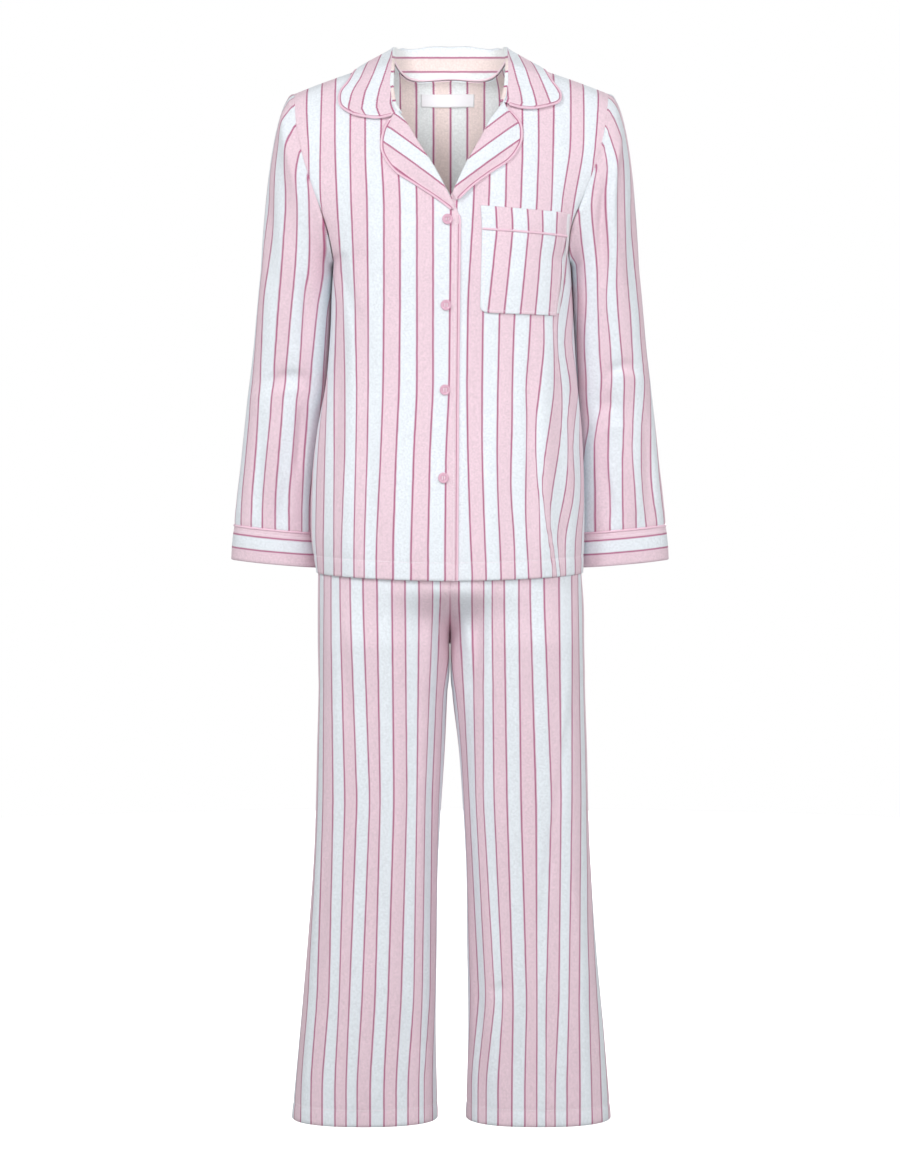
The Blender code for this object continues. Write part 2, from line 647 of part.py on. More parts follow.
def collar_section(skin, side, place):
    """The points across the collar, from its foot over the fold to the edge of its fall."""
    station = smooth_row(COLLAR, place)
    foot = neck_foot(side, place)
    crest = foot + Vector((side * -station.lean_x, station.lean_y, station.stand))
    face = FRONT if place < RIDGE_STATION else BACK
    edge_z = station.edge_right if side == RIGHT else station.edge_left
    lift = FALL_REST + WALL / 2
    edge = kept_over(skin, over_shirt(face, side * station.edge_x, edge_z, lift), lift)
    out = Vector((edge.x - crest.x, edge.y - crest.y, 0)).normalized()
    points = [
        foot - out * NECK_GAP + Vector((0, 0, 2 * SEAM)),
        foot.lerp(crest, STAND_MIDDLE) - out * STAND_BULGE,
        crest - out * COLLAR_FOLD - Vector((0, 0, FOLD_DROP)),
        crest,
        crest + out * COLLAR_FOLD - Vector((0, 0, FOLD_DROP)),
    ]
    start = points[-1]
    for k in range(1, FALL_CELLS + 1):
        share = k / FALL_CELLS
        point = start.lerp(edge, share) - Vector((0, 0, station.dip * math.sin(math.pi * share)))
        points.append(kept_over(skin, point, lift))
    return points


def collar_grid(skin):
    """The points of the collar, from its right front end round the neck to its left one."""
    last = len(COLLAR) - 1
    right = [collar_section(skin, RIGHT, place) for place in np.linspace(0, last, COLLAR_CELLS // 2 + 1)]
    left = [collar_section(skin, LEFT, place) for place in np.linspace(last, 0, COLLAR_CELLS // 2 + 1)]
    return np.array([[tuple(point) for point in section] for section in right + left[1:]])


def make_collar(skin):
    """The collar and the piping round its edge."""
    grid = collar_grid(skin)
    cores = [(0.0, 0.0, 30.0)] * len(grid)
    shell("collar", grid, cores, offset=0.0)
    end = slice(-FALL_CELLS, -1)
    edge = np.concatenate([grid[0, end], grid[:, -1], grid[-1, end][::-1]])
    inner = np.concatenate([grid[1, end], grid[:, -2], grid[-2, end][::-1]])
    corners = (FALL_CELLS - 1, -FALL_CELLS)
    inner[corners[0]], inner[corners[1]] = grid[1, -2], grid[-2, -2]
    space = PIPING_RADIUS + SEAM + PIPING_REST
    line = [kept_over(skin, Vector(point), space) for point in beside(edge, inner, space)]
    piping("piping_collar", line)


def lapel_grid(rows):
    """The points of a turned lapel, from its fold to its outer edge."""
    grid = []
    for place in np.linspace(0, len(rows) - 1, LAPEL_CELLS_DOWN + 1):
        row = smooth_row(rows, place)
        width = math.hypot(row.edge_x - row.fold_x, row.edge_z - row.fold_z)
        line = []
        for share in np.linspace(0, 1, LAPEL_CELLS + 1):
            x = row.fold_x + (row.edge_x - row.fold_x) * share
            z = row.fold_z + (row.edge_z - row.fold_z) * share
            roll = LAPEL_ROLL * min(width / LAPEL_WIDE, 1.0) * math.sin(math.pi * min(share + ROLL_START, 1.0))
            line.append(tuple(over_shirt(FRONT, x, z, LAPEL_REST + TRIM_WALL + roll)))
        grid.append(line)
    return np.array(grid)


def make_lapel(name, rows, skin):
    """A lapel and the piping round its outer edge."""
    grid = lapel_grid(rows)
    shell(f"lapel_{name}", grid, upright_cores(grid), wall=TRIM_WALL)
    space = PIPING_RADIUS + SEAM + PIPING_REST
    line = beside(grid[:-1, -1], grid.reshape(-1, 3).mean(axis=0), space)
    piping(f"piping_lapel_{name}", [kept_over(skin, Vector(point), space) for point in line])


def across_pocket(top, low, down, share):
    """The x and z of a point between two edges of the pocket."""
    left = (top[0] + (low[0] - top[0]) * down, top[1] + (low[1] - top[1]) * down)
    right = (top[2] + (low[2] - top[2]) * down, top[3] + (low[3] - top[3]) * down)
    return left[0] + (right[0] - left[0]) * share, left[1] + (right[1] - left[1]) * share


def pocket_grid(skin, top, low, cells_down, round_corner, lift):
    """The points of the pocket or its band, which lie over the left front."""
    grid = []
    for i in range(cells_down + 1):
        line = []
        for j in range(POCKET_CELLS + 1):
            x, z = across_pocket(top, low, i / cells_down, j / POCKET_CELLS)
            if round_corner and i == cells_down and j == 0:
                x, z = x + POCKET_ROUND, z + POCKET_ROUND
            line.append(tuple(kept_over(skin, over_shirt(FRONT, x, z, lift), lift)))
        grid.append(line)
    return np.array(grid)


def make_pocket(skin):
    """The chest pocket, its turned band and the piping between them."""
    lift = REST + TRIM_WALL
    pocket = pocket_grid(skin, POCKET_BAND, POCKET_LOW, POCKET_CELLS_DOWN, True, lift)
    inset(pocket, "row_low", PIPING_RADIUS + SEAM)
    shell("pocket", pocket, upright_cores(pocket), wall=TRIM_WALL)
    band = pocket_grid(skin, POCKET_TOP, POCKET_BAND, BAND_CELLS_DOWN, False, lift)
    inset(band, "row_high", PIPING_RADIUS + SEAM)
    shell("pocket_band", band, upright_cores(band), wall=TRIM_WALL)
    seam = pocket_grid(skin, POCKET_BAND, POCKET_LOW, 1, False, REST + PIPING_RADIUS)[0]
    piping("piping_pocket", seam)


def make_fronts_and_back():
    """The two fronts, the back, and the piping of the front that lies on top."""
    right = front_grid(RIGHT, EDGE_RIGHT, 0.0)
    left = front_grid(LEFT, EDGE_LEFT, UNDERLAP)
    back = back_grid()
    edge, inner = right[:, 0].copy(), right[:, 1]
    neck_row = BODY_CELLS_BELOW_ARM + BODY_CELLS_AT_ARM // 2
    for grid in (right, left):
        inset(grid[neck_row:], "column_low", NECK_GAP)
        inset(grid, "column_high", SEAM / 2 + SEAM_TURN)
        inset(grid, "row_high", SEAM / 2 + SHOULDER_TURN)
    for end in ("column_low", "column_high"):
        inset(back, end, SEAM / 2 + SEAM_TURN)
    inset(back, "row_high", SEAM / 2 + SHOULDER_TURN)
    shoulder_cells = BACK_CELLS // 4
    inset(back[:, shoulder_cells:-shoulder_cells], "row_high", NECK_GAP)
    shell("front_right", right, upright_cores(right))
    shell("front_left", left, upright_cores(left))
    shell("back", back, upright_cores(back))
    straight = edge[:, 2] < EDGE_RIGHT[EDGE_BREAK].z - 2 * PIPING_RADIUS
    line = beside(edge, inner, PIPING_RADIUS + SEAM)[straight]
    line[:, 1] += WALL / 2
    piping("piping_front_right", line)


def make_label():
    """The bare label inside the back of the neck."""
    grid = []
    for x in np.linspace(LABEL_LEFT, LABEL_RIGHT, LABEL_CELLS + 1):
        grid.append([tuple(over_shirt(BACK, x, z, -WALL - LABEL_REST)) for z in (LABEL_TOP, LABEL_LOW)])
    grid = np.array(grid)
    cores = [(0.0, 300.0, 0.0)] * len(grid)
    shell("neck_label", grid, cores, WHITE_SATIN, wall=LABEL_WALL, offset=1.0)


def make_button(number, button):
    """A round shirt button with a raised rim, which lies on the upper front."""
    made = bmesh.new()
    radius = BUTTON_RADIUS * MM
    bmesh.ops.create_cone(
        made, cap_ends=True, segments=BUTTON_SIDES, radius1=radius, radius2=radius * BUTTON_TAPER,
        depth=BUTTON_HEIGHT * MM,
    )
    face = max(made.faces, key=lambda item: item.calc_center_median().z)
    bmesh.ops.inset_region(made, faces=[face], thickness=radius * BUTTON_RIM, depth=-BUTTON_HOLLOW * MM)
    mesh = bpy.data.meshes.new(f"button_{number}")
    made.to_mesh(mesh)
    made.free()
    item = add_object(f"button_{number}", mesh, PINK_BUTTON)
    out = shirt_out(FRONT, button.x, button.z)
    seat = shirt_at(FRONT, button.x, button.z) + out * (BUTTON_REST + BUTTON_HEIGHT / 2)
    item.matrix_world = Matrix.Translation(seat * MM) @ out.to_track_quat("Z", "Y").to_matrix().to_4x4()


# ------------------------------------------------------------------------------------------------ trousers


def rounded(part):
    """The sine or cosine of a turn, made fuller, for the sections of the trousers."""
    return np.sign(part) * np.abs(part) ** (2 / LEG_POWER)


def hip_line(side, face, z):
    """One half of a section round the hips, from the middle to the side seam."""
    row = smooth_row(HIPS, place_at(HIPS, max(min(z, HIPS[0].z), HIPS[-1].z)))
    half = row.right if side == RIGHT else row.left
    depth = row.front if face == FRONT else row.back
    start = math.asin(SEAT_EDGE / half)
    spread = np.sin(np.linspace(start, math.pi / 2, 80))
    reach = (1 - spread**LEG_POWER) ** (1 / LEG_POWER)
    return np.stack([side * half * spread, face * depth * reach, 0 * spread + z], axis=-1)


def leg_line(side, face, z):
    """One half of a section round a leg, from the inside seam to the side seam."""
    row = smooth_row(LEGS, place_at(LEGS, min(z, LEGS[0].z)))
    outer, inner = (row.right_outer, row.right_inner) if side == RIGHT else (row.left_outer, row.left_inner)
    depth = row.front if face == FRONT else row.back
    turn = np.linspace(math.pi, 0, 120)
    x = (outer + inner) / 2 + (outer - inner) / 2 * rounded(np.cos(turn))
    return np.stack([side * x, face * depth * rounded(np.sin(turn)), 0 * turn + z], axis=-1)


def leg_grid(side, face):
    """The points of one trouser panel, from the waist seam to the hem."""
    rows = []
    above = np.linspace(TROUSER_TOP, CROTCH_START, HIP_CELLS_DOWN + 1)
    crotch = np.linspace(CROTCH_START, CROTCH_END, CROTCH_CELLS_DOWN + 1)[1:]
    below = np.linspace(CROTCH_END, TROUSER_HEM, LEG_CELLS_DOWN + 1)[1:]
    for z in (*above, *crotch, *below):
        parted = ease((CROTCH_START - z) / (CROTCH_START - CROTCH_END))
        hip = spaced(hip_line(side, face, z), LEG_CELLS_ROUND)
        leg = spaced(leg_line(side, face, z), LEG_CELLS_ROUND)
        line = hip + (leg - hip) * parted
        ends = np.sin(np.linspace(0, math.pi, LEG_CELLS_ROUND + 1)) ** 0.5
        line[:, 1] += face * fold_height(LEG_FOLDS, face, line[:, 0], line[:, 2]) * ends
        rows.append(line)
    return np.array(rows)


def make_trousers():
    """The four trouser panels and the elastic waistband."""
    for side, side_name in ((RIGHT, "right"), (LEFT, "left")):
        for face, face_name in ((FRONT, "front"), (BACK, "back")):
            grid = leg_grid(side, face)
            inset(grid, "column_high", SEAM / 2 + LEG_TURN)
            inset(grid[HIP_CELLS_DOWN + CROTCH_CELLS_DOWN:], "column_low", SEAM / 2 + LEG_TURN)
            shell(f"trouser_{face_name}_{side_name}", grid, upright_cores(grid, x=side * LEG_MIDDLE))
    turn = np.linspace(0, 2 * math.pi, 4 * WAISTBAND_GATHERS, endpoint=False)
    wave = WAISTBAND_WAVE * np.cos(turn * WAISTBAND_GATHERS)
    rows = []
    for z in (WAISTBAND_TOP, WAISTBAND_LOW):
        x = (HIPS[0].right - WAISTBAND_INSET + wave) * rounded(np.cos(turn))
        y = (HIPS[0].front - WAISTBAND_INSET + wave) * rounded(np.sin(turn))
        rows.append(np.stack([x, y, 0 * turn + z], axis=-1))
    grid = np.array(rows)
    shell("waistband", grid, ring_cores(grid), closed=True)


def main():
    """Builds the set."""
    for item in list(bpy.data.objects):
        bpy.data.objects.remove(item, do_unlink=True)
    collection = bpy.data.collections.new("pyjama_set")
    bpy.context.scene.collection.children.link(collection)
    make_fronts_and_back()
    make_sleeve(RIGHT, "right")
    make_sleeve(LEFT, "left")
    skin = shirt_skin()
    make_collar(skin)
    make_lapel("right", LAPEL_RIGHT, skin)
    make_lapel("left", LAPEL_LEFT, skin)
    make_pocket(skin)
    make_label()
    for number, button in enumerate(BUTTONS, start=1):
        make_button(number, button)
    make_trousers()


main()
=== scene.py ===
"""Looks of a striped pyjama set: a piped shirt with a turned collar, and long trousers, both worn by nobody.

The cloth follows the same sections as the solids of the frame, at a finer step and with its smaller creases.
Sizes and tables are in millimetres, in the frame's axes: +X the wearer's left, -Y the front, +Z up. The
meshes are in metres. Each cloth carries a UV map named "cut", in metres on the flat cut, for its stripes.
"""

from __future__ import annotations

import logging
import math
from dataclasses import dataclass, field
from enum import Enum
from typing import NamedTuple, Optional, Sequence

import bmesh
import bpy
import numpy as np
from mathutils import Matrix, Vector
from mathutils.bvhtree import BVHTree

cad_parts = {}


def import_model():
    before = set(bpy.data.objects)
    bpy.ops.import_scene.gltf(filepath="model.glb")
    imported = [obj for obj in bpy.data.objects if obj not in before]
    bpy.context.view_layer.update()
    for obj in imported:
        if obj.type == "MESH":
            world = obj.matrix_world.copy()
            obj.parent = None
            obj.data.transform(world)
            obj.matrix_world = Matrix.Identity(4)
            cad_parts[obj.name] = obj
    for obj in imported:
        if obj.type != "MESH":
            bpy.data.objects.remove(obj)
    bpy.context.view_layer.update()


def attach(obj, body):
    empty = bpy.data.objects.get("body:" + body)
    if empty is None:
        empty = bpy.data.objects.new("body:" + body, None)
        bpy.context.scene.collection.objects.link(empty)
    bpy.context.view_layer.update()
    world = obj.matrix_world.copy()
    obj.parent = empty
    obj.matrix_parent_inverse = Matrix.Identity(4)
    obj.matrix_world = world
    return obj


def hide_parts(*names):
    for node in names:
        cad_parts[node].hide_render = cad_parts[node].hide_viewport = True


LOG = logging.getLogger("pyjama_set")
MM = 0.001
BODY = "root"
UV_NAME = "cut"
TINY = 1e-9
MARK_STEP = 1e-6
Array = np.ndarray
Material = bpy.types.Material
Thing = bpy.types.Object
Node = bpy.types.Node
Socket = bpy.types.NodeSocket
Colour = tuple[float, float, float, float]
Cut = tuple[float, float, float]


class Side(Enum):
    """The wearer's sides. A value is the sign of x on that side."""

    RIGHT = -1.0
    LEFT = 1.0

    @property
    def word(self) -> str:
        """The side, as it stands in the names of pieces."""
        return self.name.lower()


class Face(Enum):
    """The front and the back of the wearer. A value is the sign of y there."""

    FRONT = -1.0
    BACK = 1.0

    @property
    def word(self) -> str:
        """The face, as it stands in the names of pieces."""
        return self.name.lower()


class Hold(Enum):
    """How a cloth is held."""

    HUNG = "hung"
    FOLDED = "folded"
    GATHERED = "gathered"


# -------------------- tables of the cut


class Section(NamedTuple):
    """A section of the shirt: heights, half widths, depths at the middle and the end, and curve powers."""

    z_front: float
    z_back: float
    z_side: float
    right: float
    left: float
    front: float
    back: float
    end_front: float
    end_back: float
    power: float
    turn: float


SHIRT = (
    Section(-653, -653, -648, 180.0, 179.5, 121, 118, 0, 0, 2.3, 2.3),
    Section(-600, -600, -598, 187.0, 181.0, 122, 120, 0, 0, 2.3, 2.3),
    Section(-526, -526, -526, 186.0, 180.5, 121, 119, 0, 0, 2.3, 2.3),
    Section(-460, -460, -460, 179.0, 177.5, 119, 114, 0, 0, 2.3, 2.3),
    Section(-393, -393, -393, 166.5, 171.0, 117, 109, 0, 0, 2.35, 2.35),
    Section(-325, -325, -325, 160.5, 166.5, 117, 108, 0, 0, 2.45, 2.45),
    Section(-275, -275, -275, 158.5, 163.5, 118, 109, 0, 0, 2.5, 2.5),
    Section(-236, -236, -236, 156.0, 161.0, 118.5, 110, 0, 0, 2.5, 2.4),
    Section(-178, -190, -222, 156.5, 157.5, 115, 110, 38, 40, 2.5, 1.9),
    Section(-120, -145, -185, 165.0, 162.0, 106, 107, 58, 60, 2.4, 1.5),
    Section(-68, -100, -140, 181.0, 180.5, 90, 101, 63, 66, 2.4, 1.25),
    Section(-20, -56, -95, 195.0, 197.0, 70, 92, 60, 64, 2.3, 1.15),
    Section(20, -16, -52, 204.0, 207.0, 48, 82, 48, 53, 2.2, 1.1),
    Section(43, 18, -20, 207.5, 211.0, 24, 66, 27, 33, 2.1, 1.05),
    Section(50, 50, -7, 209.0, 213.0, -4, 4, -4, 4, 2.0, 1.0),
)
# Rows of SHIRT: the underarm, the lapels' break, the shoulder, and the neck seam in the middle of the back.
UNDERARM = 7
LAPEL_BREAK = 11
SHOULDER = len(SHIRT) - 1
BACK_NECK = 13.0
SHOULDER_FALL = 1.5
SHOULDER_CALM = 6
NECK_HALF_WIDTH = 77.0
# The thickness of the cloth, of its lighter trim and of a turned hem, a seam's gap and a piping's radius.
WALL = 1.5
TRIM_WALL = 1.2
HEM_WALL = 2.4
SEAM = 0.3
PIPING_RADIUS = 1.55


class Edge(NamedTuple):
    """A point of an upright line on a panel."""

    z: float
    x: float


EDGE_RIGHT = (
    Edge(-653, 8.0), Edge(-417, 9.1), Edge(-287, 10.4), Edge(-175, 11.7), Edge(-152, 1.0), Edge(-111, -21),
    Edge(-76, -44), Edge(-57, -55), Edge(-31, -73), Edge(-10, -77), Edge(60, -77),
)
EDGE_LEFT = (
    Edge(-653, -23.5), Edge(-417, -22), Edge(-287, -20.5), Edge(-188, -19), Edge(-150, 1.3), Edge(-106, 21.4),
    Edge(-66, 44), Edge(-49, 52), Edge(-23, 70), Edge(-5, 74.5), Edge(18, 77), Edge(60, 77),
)
EDGE_PIPED = 3


@dataclass(frozen=True)
class Bands:
    """The widths of the white and of the pink bands of a cloth, from line to line."""

    white: float
    pink: float

    @property
    def repeat(self) -> float:
        """The width of one repeat."""
        return self.white + self.pink

    def place(self, number: Array) -> Array:
        """How far a line lies from line 0, where white turns to pink towards +X."""
        number = np.asarray(number)
        return number // 2 * self.repeat + number % 2 * self.pink


class StripeRow(NamedTuple):
    """The x of each line of the stripes at a height."""

    z: float
    lines: tuple[float, ...]


# The steps of height over which the bends of the stripes are rounded off, each with its share.
BEND_STEPS = ((-16.0, 0.25), (0.0, 0.5), (16.0, 0.25))


@dataclass(frozen=True)
class StripeChart:
    """How the stripes of a cloth lie on the body that it covers.

    Attributes:
        bands: The widths of the bands on the flat cut.
        first: The number of the first line; at line 0 white turns to pink towards +X.
        rows: The lines at some heights, from the lowest height up, with x growing along each row.
    """

    bands: Bands
    first: int
    rows: tuple[StripeRow, ...]

    @property
    def places(self) -> Array:
        """Where each line lies on the flat cut."""
        return self.bands.place(self.first + np.arange(len(self.rows[0].lines)))

    def lines_at(self, z: Array) -> Array:
        """The x of every line at heights z, with the bends rounded off.

        Args:
            z: The heights.

        Returns:
            A row of x for each line.
        """
        heights = [row.z for row in self.rows]
        z = np.asarray(z, float)
        lines = []
        for line in zip(*[row.lines for row in self.rows]):
            lines.append(sum(share * np.interp(z + step, heights, line) for step, share in BEND_STEPS))
        return np.array(lines)

    def keeping(self, number: int) -> StripeChart:
        """The chart with one of its lines alone, for a side of the body where the cloth lies plain."""
        rows = tuple(StripeRow(row.z, (row.lines[number - self.first],)) for row in self.rows)
        return StripeChart(self.bands, number, rows)

    def on_panel(self, grid: Array) -> Array:
        """The place of a panel's points across its flat cut.

        Args:
            grid: The points, in millimetres, with x growing or falling along every row.

        Returns:
            The places in metres, growing with x.
        """
        out = np.zeros(grid.shape[:2])
        for i, row in enumerate(grid):
            step = 1 if row[0, 0] < row[-1, 0] else -1
            line = row[::step]
            run = lengths(line)
            marks = [crossing(run, line[:, 0] - x) for x in self.lines_at(line[:, 2])]
            out[i, ::step] = stretched(run, np.maximum.accumulate(marks), self.places)
        return out * MM


def crossing(run: Array, gap: Array) -> float:
    """The run at which a gap that grows along it is zero, or would be past either end.

    Args:
        run: The distance along a line, at each of its points.
        gap: The gap there, which grows along the line.

    Returns:
        The distance at which the gap is zero, in line with the nearest end when it lies past that end.
    """
    if gap[0] > 0:
        return float(run[0] - gap[0])
    if gap[-1] < 0:
        return float(run[-1] - gap[-1])
    return float(np.interp(0.0, np.maximum.accumulate(gap), run))


def stretched(run: Array, marks: Array, places: Array) -> Array:
    """Places on the flat cut for runs along the body, given those of some marks.

    Args:
        run: Distances along the body.
        marks: The distances at which the places are known, growing.
        places: The places of the marks.

    Returns:
        The places, which outside the marks grow as the distances do.
    """
    marks = np.asarray(marks, float) + np.arange(len(marks)) * MARK_STEP
    return np.interp(run, marks, places) + np.minimum(run - marks[0], 0) + np.maximum(run - marks[-1], 0)


SHIRT_BANDS = Bands(22.2, 21.2)
SLEEVE_BANDS = Bands(18.4, 17.8)
COLLAR_BANDS = Bands(19.6, 18.8)
TROUSER_BANDS = Bands(19.0, 18.0)
STRIPES_FRONT_RIGHT = StripeChart(SHIRT_BANDS, -9, (
    StripeRow(-608, (-168.8, -153.5, -143.9, -126.4, -113.1, -97.2, -74.8, -51.1, -28.8, -6.5)),
    StripeRow(-482, (-166.0, -153.4, -138.4, -123.6, -109.0, -90.5, -70.7, -47.1, -26.2, -5.2)),
    StripeRow(-405, (-164.0, -153.9, -138.6, -122.4, -107.7, -87.8, -66.8, -43.2, -22.2, -1.3)),
    StripeRow(-285, (-163.8, -149.8, -141.3, -124.9, -107.5, -86.4, -65.3, -43.1, -22.2, 0.0)),
    StripeRow(-155, (-186.1, -171.4, -148.6, -130.0, -108.7, -86.3, -65.3, -43.1, -22.2, 1.3)),
    StripeRow(-89, (-186.0, -171.4, -151.4, -131.5, -111.6, -90.5, -69.4, -46.0, -24.0, 0.0)),
    StripeRow(-34, (-190.1, -170.2, -152.2, -131.3, -111.6, -90.5, -69.4, -46.0, -24.0, 0.0)),
))
STRIPES_FRONT_LEFT = StripeChart(SHIRT_BANDS, 0, (
    StripeRow(-648, (29.5, 47.5, 67.2, 85.7, 103.8, 120.5, 137.1, 141.6, 146.6, 153.4)),
    StripeRow(-607, (27.5, 45.9, 65.6, 84.4, 101.3, 118.6, 131.9, 136.0, 141.5, 151.6)),
    StripeRow(-584, (26.5, 45.0, 64.5, 83.6, 99.6, 118.5, 127.8, 131.0, 142.1, 154.8)),
    StripeRow(-552, (25.5, 43.8, 63.2, 80.4, 99.3, 117.9, 122.3, 131.9, 150.3, 163.5)),
    StripeRow(-521, (24.5, 42.8, 62.3, 79.3, 99.8, 116.0, 120.2, 137.3, 155.6, 165.7)),
    StripeRow(-480, (23.5, 41.9, 61.5, 80.4, 100.8, 112.1, 125.8, 144.7, 157.2, 162.2)),
    StripeRow(-440, (22.9, 41.9, 62.2, 81.4, 101.6, 112.2, 132.9, 148.7, 155.0, 166.3)),
    StripeRow(-402, (22.2, 41.9, 62.8, 81.4, 99.3, 117.5, 138.1, 148.2, 160.7, 172.7)),
    StripeRow(-342, (22.9, 42.5, 64.0, 82.9, 104.1, 124.4, 137.5, 140.5, 150.2, 161.6)),
    StripeRow(-304, (23.5, 43.1, 65.0, 84.3, 105.9, 122.7, 135.7, 141.4, 155.8, 163.8)),
    StripeRow(-286, (23.5, 43.1, 65.3, 86.0, 107.0, 125.0, 139.0, 148.0, 158.0, 165.0)),
    StripeRow(-155, (31.3, 50.9, 73.2, 92.9, 114.1, 134.0, 147.3, 163.4, 182.2, 196.0)),
    StripeRow(-88, (32.0, 52.5, 74.0, 95.3, 116.7, 135.5, 159.0, 176.3, 191.2, 210.0)),
    StripeRow(-17, (32.0, 52.5, 74.0, 95.3, 116.7, 137.5, 160.2, 177.2, 197.3, 216.0)),
))
STRIPES_BACK = StripeChart(SHIRT_BANDS, -2, (StripeRow(0, (-68.0, -45.9, -22.6, 0.8, 23.6, 46.9)),))
STRIPES_SLEEVE_RIGHT = StripeChart(SLEEVE_BANDS, 1, (
    StripeRow(-551, (-268.1, -252.9, -235.3, -216.7, -199.6, -190.6)),
    StripeRow(-417, (-256.1, -238.2, -223.4, -204.8, -190.4, -172.6)),
    StripeRow(-284, (-249.8, -227.4, -209.9, -192.8, -176.0, -163.5)),
    StripeRow(-247, (-245.4, -224.3, -205.5, -187.2, -168.0, -152.0)),
    StripeRow(-149, (-235.0, -215.9, -199.9, -185.4, -168.0, -152.0)),
    StripeRow(-109, (-232.4, -218.4, -202.0, -190.0, -172.0, -156.0)),
))
STRIPES_SLEEVE_LEFT = StripeChart(SLEEVE_BANDS, 1, (
    StripeRow(-583, (178.0, 195.9, 215.5, 232.9, 251.2, 265.0)),
    StripeRow(-539, (179.0, 195.7, 214.0, 232.0, 247.5, 257.9)),
    StripeRow(-488, (180.0, 193.7, 211.5, 231.5, 243.5, 257.3)),
    StripeRow(-450, (186.4, 196.7, 213.2, 233.9, 244.9, 257.0)),
    StripeRow(-417, (182.8, 202.4, 214.2, 232.5, 246.4, 260.4)),
    StripeRow(-395, (182.6, 203.1, 216.2, 234.0, 247.8, 262.5)),
    StripeRow(-334, (178.5, 199.0, 213.3, 226.6, 242.0, 255.0)),
    StripeRow(-284, (182.5, 196.7, 205.9, 221.9, 239.7, 252.8)),
    StripeRow(-235, (178.6, 194.7, 211.5, 219.5, 235.8, 248.9)),
    StripeRow(-154, (167.6, 184.9, 204.8, 221.0, 231.0, 242.0)),
    StripeRow(-106, (180.0, 195.8, 208.1, 218.1, 230.6, 240.0)),
))
STRIPES_LEG_RIGHT = StripeChart(TROUSER_BANDS, -6, (
    StripeRow(-1330, (-187.3, -172.1, -154.4, -139.6, -124.8, -107.3, -88.6, -72.5, -56.5, -41.8, -35.1)),
    StripeRow(-1221, (-179.0, -162.4, -148.8, -135.3, -117.9, -100.5, -83.1, -65.7, -48.4, -37.7, -27.0)),
    StripeRow(-950, (-170.4, -156.4, -140.0, -123.9, -106.5, -93.2, -74.6, -57.3, -44.1, -33.4, -24.1)),
    StripeRow(-680, (-168.2, -158.3, -145.9, -132.3, -114.8, -96.2, -76.3, -59.2, -40.8, -22.4, -13.2)),
))
STRIPES_LEG_LEFT = StripeChart(TROUSER_BANDS, -5, (
    StripeRow(-1330, (29.0, 37.8, 48.5, 64.5, 83.2, 100.6, 116.7, 128.8, 140.9, 157.1, 174.8)),
    StripeRow(-1221, (39.1, 48.4, 60.4, 71.1, 84.4, 103.1, 116.5, 128.6, 146.1, 159.6, 173.3)),
    StripeRow(-950, (25.5, 34.8, 44.1, 58.7, 75.9, 94.5, 114.5, 135.9, 148.1, 163.1, 175.8)),
    StripeRow(-680, (11.8, 28.9, 44.7, 55.2, 71.1, 90.9, 105.5, 124.2, 144.5, 162.4, 171.0)),
))


class Fold(NamedTuple):
    """A ridge, or below zero a trough, along a line that is seen from the front."""

    face: float
    x_top: float
    z_top: float
    x_low: float
    z_low: float
    width: float
    height: float


# The share of a fold's length on either side of its middle that has its full height, and how soon it fades.
FOLD_FULL, FOLD_FADE = 0.3, 0.22
SHIRT_FOLDS = (
    Fold(-1, 126, -345, 120, -640, 15, 4.5),
    Fold(-1, 146, -330, 150, -640, 11, -4.0),
    Fold(-1, -150, -225, -112, -300, 14, 3.0),
    Fold(-1, -128, -400, -138, -640, 15, 3.5),
    Fold(-1, -60, -172, -10, -186, 8, 2.0),
    Fold(1, -120, -330, -126, -640, 17, 4.0),
    Fold(1, 70, -380, 84, -640, 20, 4.0),
    Fold(1, 128, -250, 138, -560, 15, -3.5),
    Fold(1, -30, -400, -24, -590, 22, -3.0),
)


class Crease(NamedTuple):
    """A small crease along a path of (x, z) points seen from the front, with its width and height."""

    face: float
    path: tuple[tuple[float, float], ...]
    width: float
    height: float


